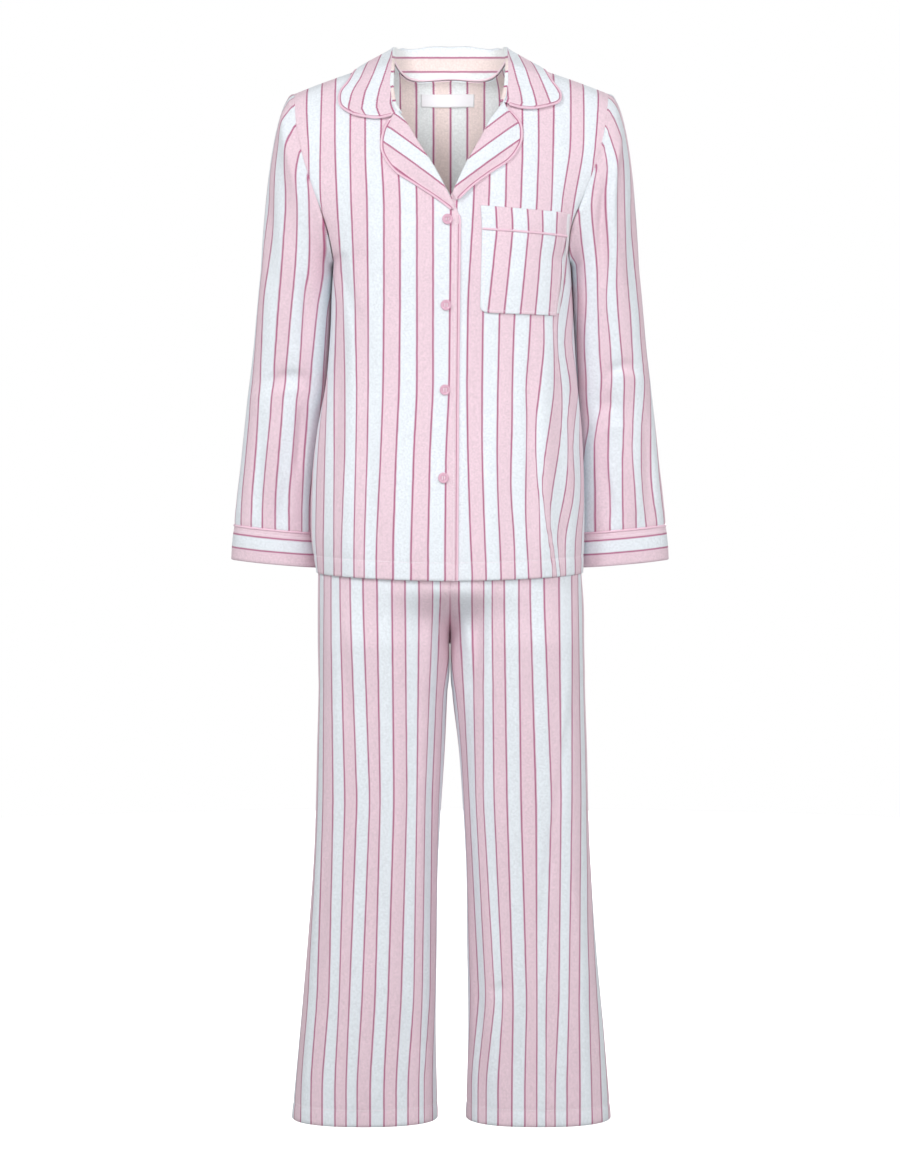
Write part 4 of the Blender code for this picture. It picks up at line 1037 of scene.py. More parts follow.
@dataclass(frozen=True)
class StripedFlannel:
    """Brushed cotton with wide bands of white and pale pink, and a thin dark line of twill between them.

    Attributes:
        name: The material's name.
        bands: The widths of the bands.
        line_width: The width of the dark lines, in millimetres.
        white: The white bands.
        pink: The pink bands.
        pale: The edges of the pink bands, beside the lines.
        line: The dark lines.
        twill: The pitch and the height of the saw edge of the lines, in metres.
        drift: The grain and the reach of the lines' unevenness.
        weave: The pitch of the diagonal weave in metres, and its share of the bump.
        fibres: The grain of the single fibres, how much they vary the tone, and their darkest tone.
        heather: The grain of the mixed yarn, how much it varies the tone, and its darkest tone.
        worn: The grain of the soft clouds, how much they vary the tone, and their darkest tone.
        nap: The strength and the height of the bump.
        heather_rise: The share of the mixed yarn in the bump.
    """

    name: str
    bands: Bands = SHIRT_BANDS
    line_width: float = 2.4
    white: Colour = linear(234, 240, 246)
    pink: Colour = linear(235, 209, 220)
    pale: Colour = linear(239, 219, 229)
    line: Colour = linear(181, 98, 135)
    twill: tuple[float, float] = (0.0026, 0.0006)
    drift: tuple[float, float] = (60.0, 0.0007)
    weave: tuple[float, float] = (0.0011, 0.22)
    fibres: tuple[float, float, float] = (1500.0, 0.10, 0.895)
    heather: tuple[float, float, float] = (420.0, 0.46, 0.77)
    worn: tuple[float, float, float] = (22.0, 0.05, 0.975)
    nap: tuple[float, float] = (0.32, 0.0005)
    heather_rise: float = 0.8

    def make(self) -> Material:
        """Makes the material.

        Returns:
            The material, which reads the cut's UV map.
        """
        board = Board(self.name)
        place = board.add("ShaderNodeUVMap", {})
        place.uv_map = UV_NAME
        across, down, _ = board.add("ShaderNodeSeparateXYZ", {0: place.outputs[0]}).outputs
        coordinates = board.add("ShaderNodeTexCoord", {}).outputs["Object"]
        fibres = board.noise(coordinates, self.fibres[0], 3.0)
        heather = board.noise(coordinates, self.heather[0], 3.0)
        worn = board.noise(coordinates, self.worn[0])
        tones = []
        for grain, (_, depth, light) in zip((fibres, heather, worn), (self.fibres, self.heather, self.worn)):
            tones.append(board.math("MULTIPLY_ADD", grain, depth, light))
        tone = board.math("MULTIPLY", board.math("MULTIPLY", tones[0], tones[1]), tones[2])
        grey = board.add("ShaderNodeCombineColor", {0: tone, 1: tone, 2: tone})
        bands = self.banded(board, place.outputs[0], across, down)
        pitch, rise = self.weave
        weave = board.math("MULTIPLY", self.wave(board, board.math("ADD", across, down), pitch), rise)
        yarn = board.math("MULTIPLY", heather, self.heather_rise)
        board.bump(board.math("ADD", board.math("ADD", weave, fibres), yarn), *self.nap)
        board.feed(board.shader, {
            "Base Color": board.mix(1.0, bands, grey.outputs[0], "MULTIPLY"), "Roughness": 0.92,
            "Specular IOR Level": 0.18, "Sheen Weight": 0.22, "Sheen Roughness": 0.55,
        })
        return board.material

    @staticmethod
    def wave(board: Board, place: Socket, pitch: float) -> Socket:
        """A wave over a place, of the given pitch."""
        return board.math("SINE", board.math("MULTIPLY", place, 2 * math.pi / pitch))

    def banded(self, board: Board, place: Socket, across: Socket, down: Socket) -> Socket:
        """The colour of the bands and lines at a place on the cut.

        Args:
            board: The material's nodes.
            place: The place.
            across: How far across the cut it is.
            down: How far down.

        Returns:
            The colour's socket.
        """
        saw = board.math("MULTIPLY", self.wave(board, down, self.twill[0]), self.twill[1])
        shake = board.math("SUBTRACT", board.noise(place, self.drift[0]), 0.5)
        drift = board.math("MULTIPLY", shake, self.drift[1])
        placed = board.math("ADD", board.math("ADD", across, saw), drift)
        share = board.math("FRACT", board.math("DIVIDE", placed, self.bands.repeat * MM))
        ramp = board.add("ShaderNodeValToRGB", {0: share})
        self.fill_ramp(ramp.color_ramp)
        return ramp.outputs[0]

    def fill_ramp(self, ramp: bpy.types.ColorRamp) -> None:
        """Lays out one repeat of the bands: a line, pink with pale edges, a line, white.

        Args:
            ramp: The ramp that is filled.
        """
        period, wide = self.bands.repeat, self.bands.pink
        half, soft, gap = self.line_width / 2, 0.35, 0.9
        stops = [
            (0.0, self.line), (half - soft, self.line), (half + soft, self.pale), (half + gap, self.pale),
            (half + gap + soft, self.pink), (wide - half - gap - soft, self.pink),
            (wide - half - gap, self.pale), (wide - half - soft, self.pale),
            (wide - half + soft, self.line), (wide + half - soft, self.line),
            (wide + half + soft, self.white), (period - half - soft, self.white),
            (period - half + soft, self.line), (period, self.line),
        ]
        ramp.interpolation = "LINEAR"
        while len(ramp.elements) < len(stops):
            ramp.elements.new(0.5)
        for element, (where, colour) in zip(ramp.elements, stops):
            element.position = where / period
            element.color = colour


@dataclass(frozen=True)
class PlainFinish:
    """A finish of one colour with fine fibres or streaks: cord, thread, satin or resin."""

    name: str
    colour: Colour
    roughness: float
    grain: float
    contrast: float
    bump: float
    sheen: float = 0.0
    coat: float = 0.0
    glow: float = 0.0

    def make(self) -> Material:
        """Makes the material.

        Returns:
            The material, which reads object coordinates.
        """
        board = Board(self.name)
        coordinates = board.add("ShaderNodeTexCoord", {}).outputs["Object"]
        fine = board.noise(coordinates, self.grain, 3.0)
        wide = board.noise(coordinates, self.grain / 12)
        both = board.math("MULTIPLY", board.math("ADD", fine, wide), 0.5)
        darker = tuple(part * (1 - self.contrast) for part in self.colour[:3]) + (1.0,)
        lighter = tuple(min(1.0, part * (1 + self.contrast)) for part in self.colour[:3]) + (1.0,)
        board.bump(fine, self.bump, 0.0003)
        board.feed(board.shader, {
            "Base Color": board.mix(both, darker, lighter), "Roughness": self.roughness,
            "Sheen Weight": self.sheen, "Coat Weight": self.coat, "Emission Color": (1.0, 1.0, 1.0, 1.0),
            "Emission Strength": self.glow,
        })
        return board.material


# The inner face's colours, with bands paler than the outer ones: painted light that lifts the shaded inside
# of the garment.
LIGHTENED_INNER_COLOURS = {
    "white": linear(238, 243, 244), "pink": linear(240, 224, 220), "pale": linear(242, 230, 230),
    "line": linear(176, 96, 134),
}


def flannel(name: str, bands: Bands, line_width: float, inside: bool = False) -> Material:
    """A field for a striped finish, in the cloth's outer colours or in its inner ones, whose bands are
    lightened as painted light.
    """
    colours = LIGHTENED_INNER_COLOURS if inside else {}
    return field(default_factory=StripedFlannel(name, bands, line_width, **colours).make)


def plain(name: str, colour: tuple[int, int, int], *values: float, glow: float = 0.0) -> Material:
    """A field for a plain finish, from its colour on a screen and the values that PlainFinish lists."""
    return field(default_factory=PlainFinish(name, linear(*colour), *values, glow=glow).make)


@dataclass
class Finishes:
    """Every finish of the set, made once."""

    shirt: Material = flannel("striped_flannel", SHIRT_BANDS, 2.4)
    shirt_inside: Material = flannel("striped_flannel_inside", SHIRT_BANDS, 2.4, inside=True)
    collar: Material = flannel("collar_flannel", COLLAR_BANDS, 2.3)
    collar_inside: Material = flannel("collar_flannel_inside", COLLAR_BANDS, 2.4, inside=True)
    narrow: Material = flannel("sleeve_flannel", SLEEVE_BANDS, 2.2)
    narrow_inside: Material = flannel("sleeve_flannel_inside", SLEEVE_BANDS, 2.4, inside=True)
    trousers: Material = flannel("trouser_flannel", TROUSER_BANDS, 2.2)
    trousers_inside: Material = flannel("trouser_flannel_inside", TROUSER_BANDS, 2.4, inside=True)
    piping: Material = plain("pink_piping", (230, 194, 210), 0.48, 1400.0, 0.08, 0.2, 0.3, 0.1)
    # A dark pink for cords that paint the shade in the grooves of the seams beside the pipings and between
    # the trousers' panels.
    shade_cord: Material = plain("piping_seam", (186, 118, 148), 0.8, 1400.0, 0.1, 0.2)
    thread: Material = plain("pink_thread", (250, 236, 243), 0.7, 3000.0, 0.12, 0.2)
    button: Material = plain("pink_button", (212, 166, 186), 0.28, 120.0, 0.07, 0.02, 0.0, 0.35)
    satin: Material = plain("white_satin", (222, 222, 226), 0.38, 2200.0, 0.04, 0.25, 0.2)
    tape: Material = plain("neck_tape", (240, 216, 226), 0.8, 1800.0, 0.08, 0.3, 0.2)
    floor: Material = plain("studio_floor", (250, 250, 250), 0.95, 3.0, 0.004, 0.0, glow=0.66)


# -------------------- cloth and cords


# How far a rim stands out against the wall's thickness, and how near points are joined, in metres.
RIM_REACH = 0.42
WELD = 0.00002


def shown(name: str, data: bpy.types.ID) -> Thing:
    """A new object in the scene, around the given mesh, curve, lamp or lens.

    Args:
        name: The object's name.
        data: What it shows.

    Returns:
        The object.
    """
    item = bpy.data.objects.new(name, data)
    bpy.context.scene.collection.objects.link(item)
    return item


@dataclass
class Cloth:
    """A cloth wall over a grid of points, with rounded edges.

    Attributes:
        name: The piece's name.
        grid: Points of the outer face in millimetres; a closed cloth repeats its first column.
        cut: The same points on the flat cut, in metres.
        cores: A point inside the garment for each row, from which the outer face looks away.
        wall: Thickness in millimetres, one number or one for each point.
        closed: Whether the cloth goes all round.
        centred: Whether the grid is the middle of the wall.
        lined: How many of the first columns show the inner finish on their outer face too.
    """

    name: str
    grid: Array
    cut: Array
    cores: Array
    wall: object = WALL
    closed: bool = False
    centred: bool = False
    lined: int = 0

    def build(self, outer: Material, inner: Material) -> Thing:
        """Makes the object: both faces of the wall, and a rounded rim along every open edge.

        Args:
            outer: The finish of the outer face and the rims.
            inner: The finish of the inner face.

        Returns:
            The object, at the origin.
        """
        rows, columns = self.grid.shape[:2]
        normals = grid_normals(self.grid, self.closed)
        away = ((self.grid - self.cores[:, None, :]) * normals).sum()
        flip = away < 0
        if flip:
            normals = -normals
        wall = np.broadcast_to(np.asarray(self.wall, float), (rows, columns))[..., None]
        top = self.grid + (normals * wall / 2 if self.centred else 0.0)
        low = top - normals * wall
        middle = (top + low) / 2
        points = [top.reshape(-1, 3), low.reshape(-1, 3)]
        cut = [self.cut.reshape(-1, 2)] * 2
        size = rows * columns
        a = (np.arange(rows - 1)[:, None] * columns + np.arange(columns - 1)[None, :]).ravel()
        quads = np.stack([a, a + 1, a + columns + 1, a + columns], axis=1)
        if flip:
            quads = quads[:, ::-1]
        faces = [quads, quads[:, ::-1] + size]
        slots = [(a % columns < self.lined).astype(int), np.ones(len(quads), int)]
        rims = [(np.arange(columns), self.edge_out(middle, 0), False)]
        rims.append((np.arange(columns) + (rows - 1) * columns, self.edge_out(middle, -1), True))
        if not self.closed:
            turned = middle.transpose(1, 0, 2)
            rims.append((np.arange(rows) * columns, self.edge_out(turned, 0), True))
            rims.append((np.arange(rows) * columns + columns - 1, self.edge_out(turned, -1), False))
        made = 2 * size
        flat_wall = wall.reshape(-1)
        flat_middle = middle.reshape(-1, 3)
        for index, out, forward in rims:
            points.append(flat_middle[index] + out * flat_wall[index][:, None] * RIM_REACH)
            cut.append(self.cut.reshape(-1, 2)[index])
            ring = np.arange(len(index)) + made
            made += len(index)
            for first, second in ((index, ring), (ring, index + size)):
                side = np.stack([first[:-1], first[1:], second[1:], second[:-1]], axis=1)
                faces.append(side if forward != flip else side[:, ::-1])
                slots.append(np.zeros(len(side), int))
        return self.to_object(np.concatenate(points), np.concatenate(cut), faces, slots, (outer, inner))

    @staticmethod
    def edge_out(grid: Array, end: int) -> Array:
        """The direction out of a cloth at one of its ends."""
        return unit(grid[0] - grid[1] if end == 0 else grid[-1] - grid[-2])

    def to_object(
        self, points: Array, cut: Array, faces: list[Array], slots: list[Array],
        finishes: tuple[Material, Material],
    ) -> Thing:
        """Makes the mesh, joins what meets, and links the object.

        Args:
            points: The points in millimetres.
            cut: The place of each point on the flat cut, in metres.
            faces: Groups of faces.
            slots: The finish of each face, counted in finishes, in the same groups.
            finishes: The outer and the inner finish.

        Returns:
            The object.
        """
        quads = np.concatenate(faces)
        mesh = bpy.data.meshes.new(self.name)
        mesh.from_pydata((points * MM).tolist(), [], quads.tolist())
        layer = mesh.uv_layers.new(name=UV_NAME)
        layer.data.foreach_set("uv", cut[quads.ravel()].ravel())
        mesh.polygons.foreach_set("material_index", np.concatenate(slots))
        mesh.polygons.foreach_set("use_smooth", np.ones(len(quads), bool))
        for finish in finishes:
            mesh.materials.append(finish)
        work = bmesh.new()
        work.from_mesh(mesh)
        bmesh.ops.remove_doubles(work, verts=work.verts[:], dist=WELD)
        work.to_mesh(mesh)
        work.free()
        mesh.update()
        return shown(self.name, mesh)


@dataclass(frozen=True)
class Thread:
    """The pitch, length and thickness of stitches in millimetres, and whether they are of satin thread."""

    pitch: float = 3.4
    length: float = 2.5
    thickness: float = 0.8
    satin: bool = False


SEAM_THREAD = Thread()
BUTTONHOLE_THREAD = Thread(0.75, 2.6, 0.6)
LABEL_THREAD = Thread(2.0, 1.4, 0.35, satin=True)
# The steps of cords along their paths, in metres.
CORD_STEP, SHADE_CORD_STEP = 0.0028, 0.0035


class Sewing:
    """Cords and stitches that follow a path, made by Geometry Nodes."""

    def __init__(self, finishes: Finishes) -> None:
        """Keeps the set's finishes and builds both node trees.

        Args:
            finishes: The finishes.
        """
        self.finishes = finishes
        self.cord_tree = self.make_cord_tree()
        self.stitch_tree = self.make_stitch_tree()

    @staticmethod
    def new_tree(name: str, sizes: dict[str, float]) -> tuple[bpy.types.NodeTree, Node, Node]:
        """A geometry tree with a geometry input, named sizes, a direction and a material.

        Args:
            name: The tree's name.
            sizes: The name and the default of each size.

        Returns:
            The tree, its input node and its output node.
        """
        tree = bpy.data.node_groups.new(name, "GeometryNodeTree")
        tree.interface.new_socket("Geometry", in_out="INPUT", socket_type="NodeSocketGeometry")
        for size, value in sizes.items():
            socket = tree.interface.new_socket(size, in_out="INPUT", socket_type="NodeSocketFloat")
            socket.default_value = value
        tree.interface.new_socket("Direction", in_out="INPUT", socket_type="NodeSocketVector")
        tree.interface.new_socket("Material", in_out="INPUT", socket_type="NodeSocketMaterial")
        tree.interface.new_socket("Geometry", in_out="OUTPUT", socket_type="NodeSocketGeometry")
        return tree, tree.nodes.new("NodeGroupInput"), tree.nodes.new("NodeGroupOutput")

    @staticmethod
    def wire(tree: bpy.types.NodeTree, links: Sequence[tuple[Node, str | int, Node, str | int]]) -> None:
        """Links nodes, each link a node and its output, then a node and its input, by name or number."""
        for source, output, target, entry in links:
            tree.links.new(source.outputs[output], target.inputs[entry])

    def make_cord_tree(self) -> bpy.types.NodeTree:
        """A round cord along a curve.

        Returns:
            The tree.
        """
        tree, given, result = self.new_tree("cord_along_path", {"Radius": 0.0014, "Step": 0.003})
        even = tree.nodes.new("GeometryNodeResampleCurve")
        even.mode = "LENGTH"
        ring = tree.nodes.new("GeometryNodeCurvePrimitiveCircle")
        ring.inputs["Resolution"].default_value = 12
        sweep = tree.nodes.new("GeometryNodeCurveToMesh")
        sweep.inputs["Fill Caps"].default_value = True
        smooth = tree.nodes.new("GeometryNodeSetShadeSmooth")
        dress = tree.nodes.new("GeometryNodeSetMaterial")
        self.wire(tree, (
            (given, "Geometry", even, "Curve"), (given, "Step", even, "Length"),
            (given, "Radius", ring, "Radius"), (even, "Curve", sweep, "Curve"),
            (ring, "Curve", sweep, "Profile Curve"), (sweep, "Mesh", smooth, "Geometry"),
            (smooth, "Geometry", dress, "Geometry"),
            (given, "Material", dress, "Material"), (dress, "Geometry", result, "Geometry"),
        ))
        return tree

    def make_stitch_tree(self) -> bpy.types.NodeTree:
        """Short threads along a curve, in line with it or along a given direction.

        Returns:
            The tree.
        """
        sizes = {"Pitch": 0.003, "Length": 0.0021, "Thickness": 0.0005, "Across": 0.0}
        tree, given, result = self.new_tree("stitches_along_path", sizes)
        spread = tree.nodes.new("GeometryNodeCurveToPoints")
        spread.mode = "LENGTH"
        thread = tree.nodes.new("GeometryNodeMeshIcoSphere")
        thread.inputs["Subdivisions"].default_value = 1
        thread.inputs["Radius"].default_value = 0.5
        size = tree.nodes.new("ShaderNodeCombineXYZ")
        mix = tree.nodes.new("ShaderNodeMix")
        mix.data_type = "VECTOR"
        vectors = [slot for slot, entry in enumerate(mix.inputs) if entry.type == "VECTOR"]
        first, second = (slot for slot in vectors if mix.inputs[slot].name in ("A", "B"))
        mixed = next(slot for slot, entry in enumerate(mix.outputs) if entry.type == "VECTOR")
        align = tree.nodes.new("FunctionNodeAlignRotationToVector")
        align.axis = "Z"
        place = tree.nodes.new("GeometryNodeInstanceOnPoints")
        realize = tree.nodes.new("GeometryNodeRealizeInstances")
        smooth = tree.nodes.new("GeometryNodeSetShadeSmooth")
        dress = tree.nodes.new("GeometryNodeSetMaterial")
        self.wire(tree, (
            (given, "Geometry", spread, "Curve"), (given, "Pitch", spread, "Length"),
            (given, "Thickness", size, 0), (given, "Thickness", size, 1), (given, "Length", size, 2),
            (given, "Across", mix, 0), (spread, "Tangent", mix, first), (given, "Direction", mix, second),
            (mix, mixed, align, "Vector"), (spread, "Points", place, "Points"),
            (thread, "Mesh", place, "Instance"), (align, "Rotation", place, "Rotation"),
            (size, 0, place, "Scale"),
            (place, "Instances", realize, "Geometry"), (realize, "Geometry", smooth, "Geometry"),
            (smooth, "Geometry", dress, "Geometry"), (given, "Material", dress, "Material"),
            (dress, "Geometry", result, "Geometry"),
        ))
        return tree

    def run(
        self, name: str, tree: bpy.types.NodeTree, paths: Sequence[Array], values: dict[str, object],
        closed: bool = False,
    ) -> Thing:
        """Runs a tree on paths of points and keeps the result as a plain mesh.

        Args:
            name: The piece's name.
            tree: The node tree.
            paths: Lines of points in millimetres.
            values: The tree's inputs by name.
            closed: Whether each path is a ring.

        Returns:
            The object, at the origin.
        """
        curve = bpy.data.curves.new(f"{name}_path", "CURVE")
        curve.dimensions = "3D"
        for path in paths:
            spline = curve.splines.new("POLY")
            spline.points.add(len(path) - 1)
            flat = np.concatenate([np.asarray(path, float) * MM, np.ones((len(path), 1))], axis=1)
            spline.points.foreach_set("co", flat.ravel())
            spline.use_cyclic_u = closed
        source = shown(f"{name}_source", curve)
        modifier = source.modifiers.new("nodes", "NODES")
        modifier.node_group = tree
        for socket in tree.interface.items_tree:
            if socket.item_type == "SOCKET" and socket.in_out == "INPUT" and socket.name in values:
                modifier[socket.identifier] = values[socket.name]
        graph = bpy.context.evaluated_depsgraph_get()
        made = source.evaluated_get(graph)
        mesh = bpy.data.meshes.new_from_object(made, preserve_all_data_layers=True, depsgraph=graph)
        source.modifiers.remove(modifier)
        bpy.data.objects.remove(source, do_unlink=True)
        mesh.name = name
        return shown(name, mesh)

    def cord(self, name: str, path: Array, replaced: str, closed: bool = False) -> None:
        """A piping cord along a line of points.

        Args:
            name: The piece's name.
            path: The line, in millimetres.
            replaced: The solid that the piping replaces.
            closed: Whether the line is a ring.
        """
        values = {"Radius": PIPING_RADIUS * MM, "Step": CORD_STEP, "Material": self.finishes.piping}
        declare(self.run(name, self.cord_tree, [path], values, closed), [replaced])

    def shade_cord(self, name: str, path: Array, radius: float = 0.6) -> None:
        """A thin dark cord sunk into the cloth along a seam: its dark colour is painted shade in the seam's
        groove, beside a piping or between two panels.

        Args:
            name: The piece's name.
            path: The line, in millimetres.
            radius: The cord's radius.
        """
        values = {"Radius": radius * MM, "Step": SHADE_CORD_STEP, "Material": self.finishes.shade_cord}
        declare(self.run(name, self.cord_tree, [path], values), [])

    def stitches(
        self, name: str, paths: Sequence[Array], thread: Thread = SEAM_THREAD, closed: bool = False,
        across: Optional[Sequence[float]] = None,
    ) -> Thing:
        """A run of stitches along lines of points.

        Args:
            name: The piece's name.
            paths: The lines, in millimetres.
            thread: The sizes and the finish of the stitches.
            closed: Whether each line is a ring.
            across: The direction of the stitches, or None for stitches in line.

        Returns:
            The object.
        """
        finish = self.finishes.satin if thread.satin else self.finishes.thread
        values: dict[str, object] = {
            "Pitch": thread.pitch * MM, "Length": thread.length * MM, "Thickness": thread.thickness * MM,
            "Material": finish,
        }
        if across is not None:
            values |= {"Across": 1.0, "Direction": list(across)}
        item = self.run(name, self.stitch_tree, paths, values, closed)
        return declare(item, [])


def declare(
    piece: Thing, nodes: Sequence[str],
) -> Thing:
    """Tells the frame what a piece stands for.

    Args:
        piece: The finished piece.
        nodes: The solids that it replaces.

    Returns:
        The piece.
    """
    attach(piece, BODY)
    if nodes:
        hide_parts(*nodes)
    LOG.info("%s: %d faces", piece.name, len(piece.data.polygons))
    return piece


# -------------------- the shirt's surface


# How often a search halves its range, and the step over which the slope of the shirt is measured.
HALVINGS, SLOPE_STEP = 18, 3.0
EDGE_ROUNDS = 12
NEAR_ENOUGH = 0.01


class ShirtSurface:
    """The outer face of the shirt, which its panels and what lies on them share."""

    def __init__(self) -> None:
        """Prepares the search tree over the panels."""
        self.tree: Optional[BVHTree] = None

    def points(self, face: Face, place: Array, spread: Array, creased: bool = True) -> Array:
        """Points on sections of the shirt.

        Args:
            face: Front or back.
            place: The sections, counted from the hem.
            spread: From -1 at the wearer's right side to 1 at the left.
            creased: Whether the folds and creases count.

        Returns:
            The points, in millimetres.
        """
        place, spread = np.broadcast_arrays(np.asarray(place, float), np.asarray(spread, float))
        row = row_at(SHIRT, place)
        size = np.abs(np.clip(spread, -1, 1))
        half = np.where(spread < 0, row.right, row.left)
        front = face is Face.FRONT
        middle, z_middle = (row.front, row.z_front) if front else (row.back, row.z_back)
        end = np.where(place <= UNDERARM, 0.0, row.end_front if front else row.end_back)
        x = spread * half
        z = z_middle + (row.z_side - z_middle) * size**SHOULDER_FALL
        depth = end + (middle - end) * np.clip(1 - size**row.power, 0, None) ** (1 / row.turn)
        if creased:
            folds = fold_height(SHIRT_FOLDS, face, x, z) + crease_height(SHIRT_CREASES, face, x, z)
            depth = depth + folds * (1 - size**SHOULDER_CALM)
        return np.stack([x, face.value * depth, z], axis=-1)

    def at(self, face: Face, x: Array, z: Array) -> Array:
        """The points that lie at x and z, seen from the front or the back.

        Args:
            face: Front or back.
            x: Where the points are across.
            z: Their heights.

        Returns:
            The points, in millimetres.
        """
        x, z = np.broadcast_arrays(np.asarray(x, float), np.asarray(z, float))
        low, high = np.zeros(x.shape), np.full(x.shape, float(SHOULDER))
        for _ in range(HALVINGS):
            place = (low + high) / 2
            spread = self.spread_at(place, x)
            below = self.points(face, place, spread, creased=False)[..., 2] < z
            low, high = np.where(below, place, low), np.where(below, high, place)
        return self.points(face, place, self.spread_at(place, x))

    @staticmethod
    def spread_at(place: Array, x: Array) -> Array:
        """How far out x is on a section, from -1 to 1."""
        row = row_at(SHIRT, place)
        return np.clip(x / np.where(x < 0, row.right, row.left), -1, 1)

    def out(self, face: Face, x: Array, z: Array) -> Array:
        """The outward direction of the shirt at x and z.

        Args:
            face: Front or back.
            x: Where the points are across.
            z: Their heights.

        Returns:
            The directions, one long.
        """
        x, z = np.broadcast_arrays(np.asarray(x, float), np.asarray(z, float))
        across = self.at(face, x + SLOPE_STEP, z) - self.at(face, x - SLOPE_STEP, z)
        up = self.at(face, x, z + SLOPE_STEP) - self.at(face, x, z - SLOPE_STEP)
        out = unit(np.cross(across, up))
        return np.where(out[..., 1:2] * face.value > 0, out, -out)

    def over(self, face: Face, x: Array, z: Array, lift: Array) -> Array:
        """Points that lie a given height over the shirt."""
        return self.at(face, x, z) + self.out(face, x, z) * np.asarray(lift, float)[..., None]

    def learn(self, panels: Sequence[tuple[Array, Array]]) -> None:
        """Builds the search tree from panels, each a grid of points and its outward normals.

        Args:
            panels: The grids and their normals.
        """
        points: list[Vector] = []
        faces: list[tuple[int, ...]] = []
        for grid, normals in panels:
            rows, columns = grid.shape[:2]
            first = len(points)
            points += [Vector(point) for point in grid.reshape(-1, 3)]
            flat = grid_normals(grid)
            same = float((flat * normals).sum()) > 0
            for i in range(rows - 1):
                for j in range(columns - 1):
                    a = first + i * columns + j
                    quad = (a, a + 1, a + columns + 1, a + columns)
                    faces.append(quad if same else quad[::-1])
        self.tree = BVHTree.FromPolygons(points, faces)

    def kept_over(self, points: Array, lift: float) -> Array:
        """The points, pushed out where they are less than the lift over the shirt.

        Args:
            points: The points, in millimetres.
            lift: The least height over the shirt.

        Returns:
            The new points.
        """
        out = []
        for point in np.asarray(points, float).reshape(-1, 3):
            here = Vector(point)
            for _ in range(3):
                near, normal, _, _ = self.tree.find_nearest(here)
                height = (here - near).dot(normal)
                if height >= lift - NEAR_ENOUGH:
                    break
                here = here + normal * (lift - height)
            out.append(tuple(here))
        return np.array(out).reshape(np.shape(points))


def seam_dip(
    grid: Array, cores: Array, edges: Sequence[str], depth: float = 1.2, reach: float = 3.5
) -> Array:
    """Rounds a cloth's edges inwards, as a sewn seam pulls them.

    Args:
        grid: The points of the cloth.
        cores: A point inside the garment for each row.
        edges: The edges that are sewn, named as inset names them.
        depth: How far they go in, in millimetres.
        reach: How wide the rounding is.

    Returns:
        The new points.
    """
    fall = np.zeros(grid.shape[:2])
    for edge in edges:
        side, end = edge.split("_")
        axis = int(side == "column")
        run = lengths(grid, axis)
        if end == "high":
            run = run.take([-1], axis=axis) - run
        fall = np.maximum(fall, bell(run, 0, reach))
    return grid - outward_normals(grid, cores) * fall[..., None] * depth


def hem_relief(rise: Array, depth: float, belly: float, reach: float) -> Array:
    """How far the cloth stands out over a turned hem, and in along its stitches.

    Args:
        rise: How far up from the hem each point lies.
        depth: Where the stitches are.
        belly: Where the cloth stands out most.
        reach: How wide it stands out.

    Returns:
        The height of the cloth over its smooth form.
    """
    return 0.35 * bell(rise, belly, reach) - 0.85 * bell(rise, depth, 2.0)


def hem_walls(rise: Array, depth: float) -> Array:
    """The thickness of a panel at points that lie some way up from a hem of that depth."""
    return WALL + (HEM_WALL - WALL) * (1 - ease((rise - depth + 3) / 4))


def hem_line(grid: Array, depth: float) -> Array:
    """The line that lies some way up a panel whose first row is its hem.

    Args:
        grid: The points.
        depth: How far up.

    Returns:
        A point for each column but the outermost two.
    """
    heights = grid[:, :, 2] - grid[0, :, 2]
    line = []
    for j in range(1, grid.shape[1] - 1):
        line.append([np.interp(depth, heights[:, j], grid[:, j, k]) for k in range(3)])
    return np.array(line)


# -------------------- the shirt's parts


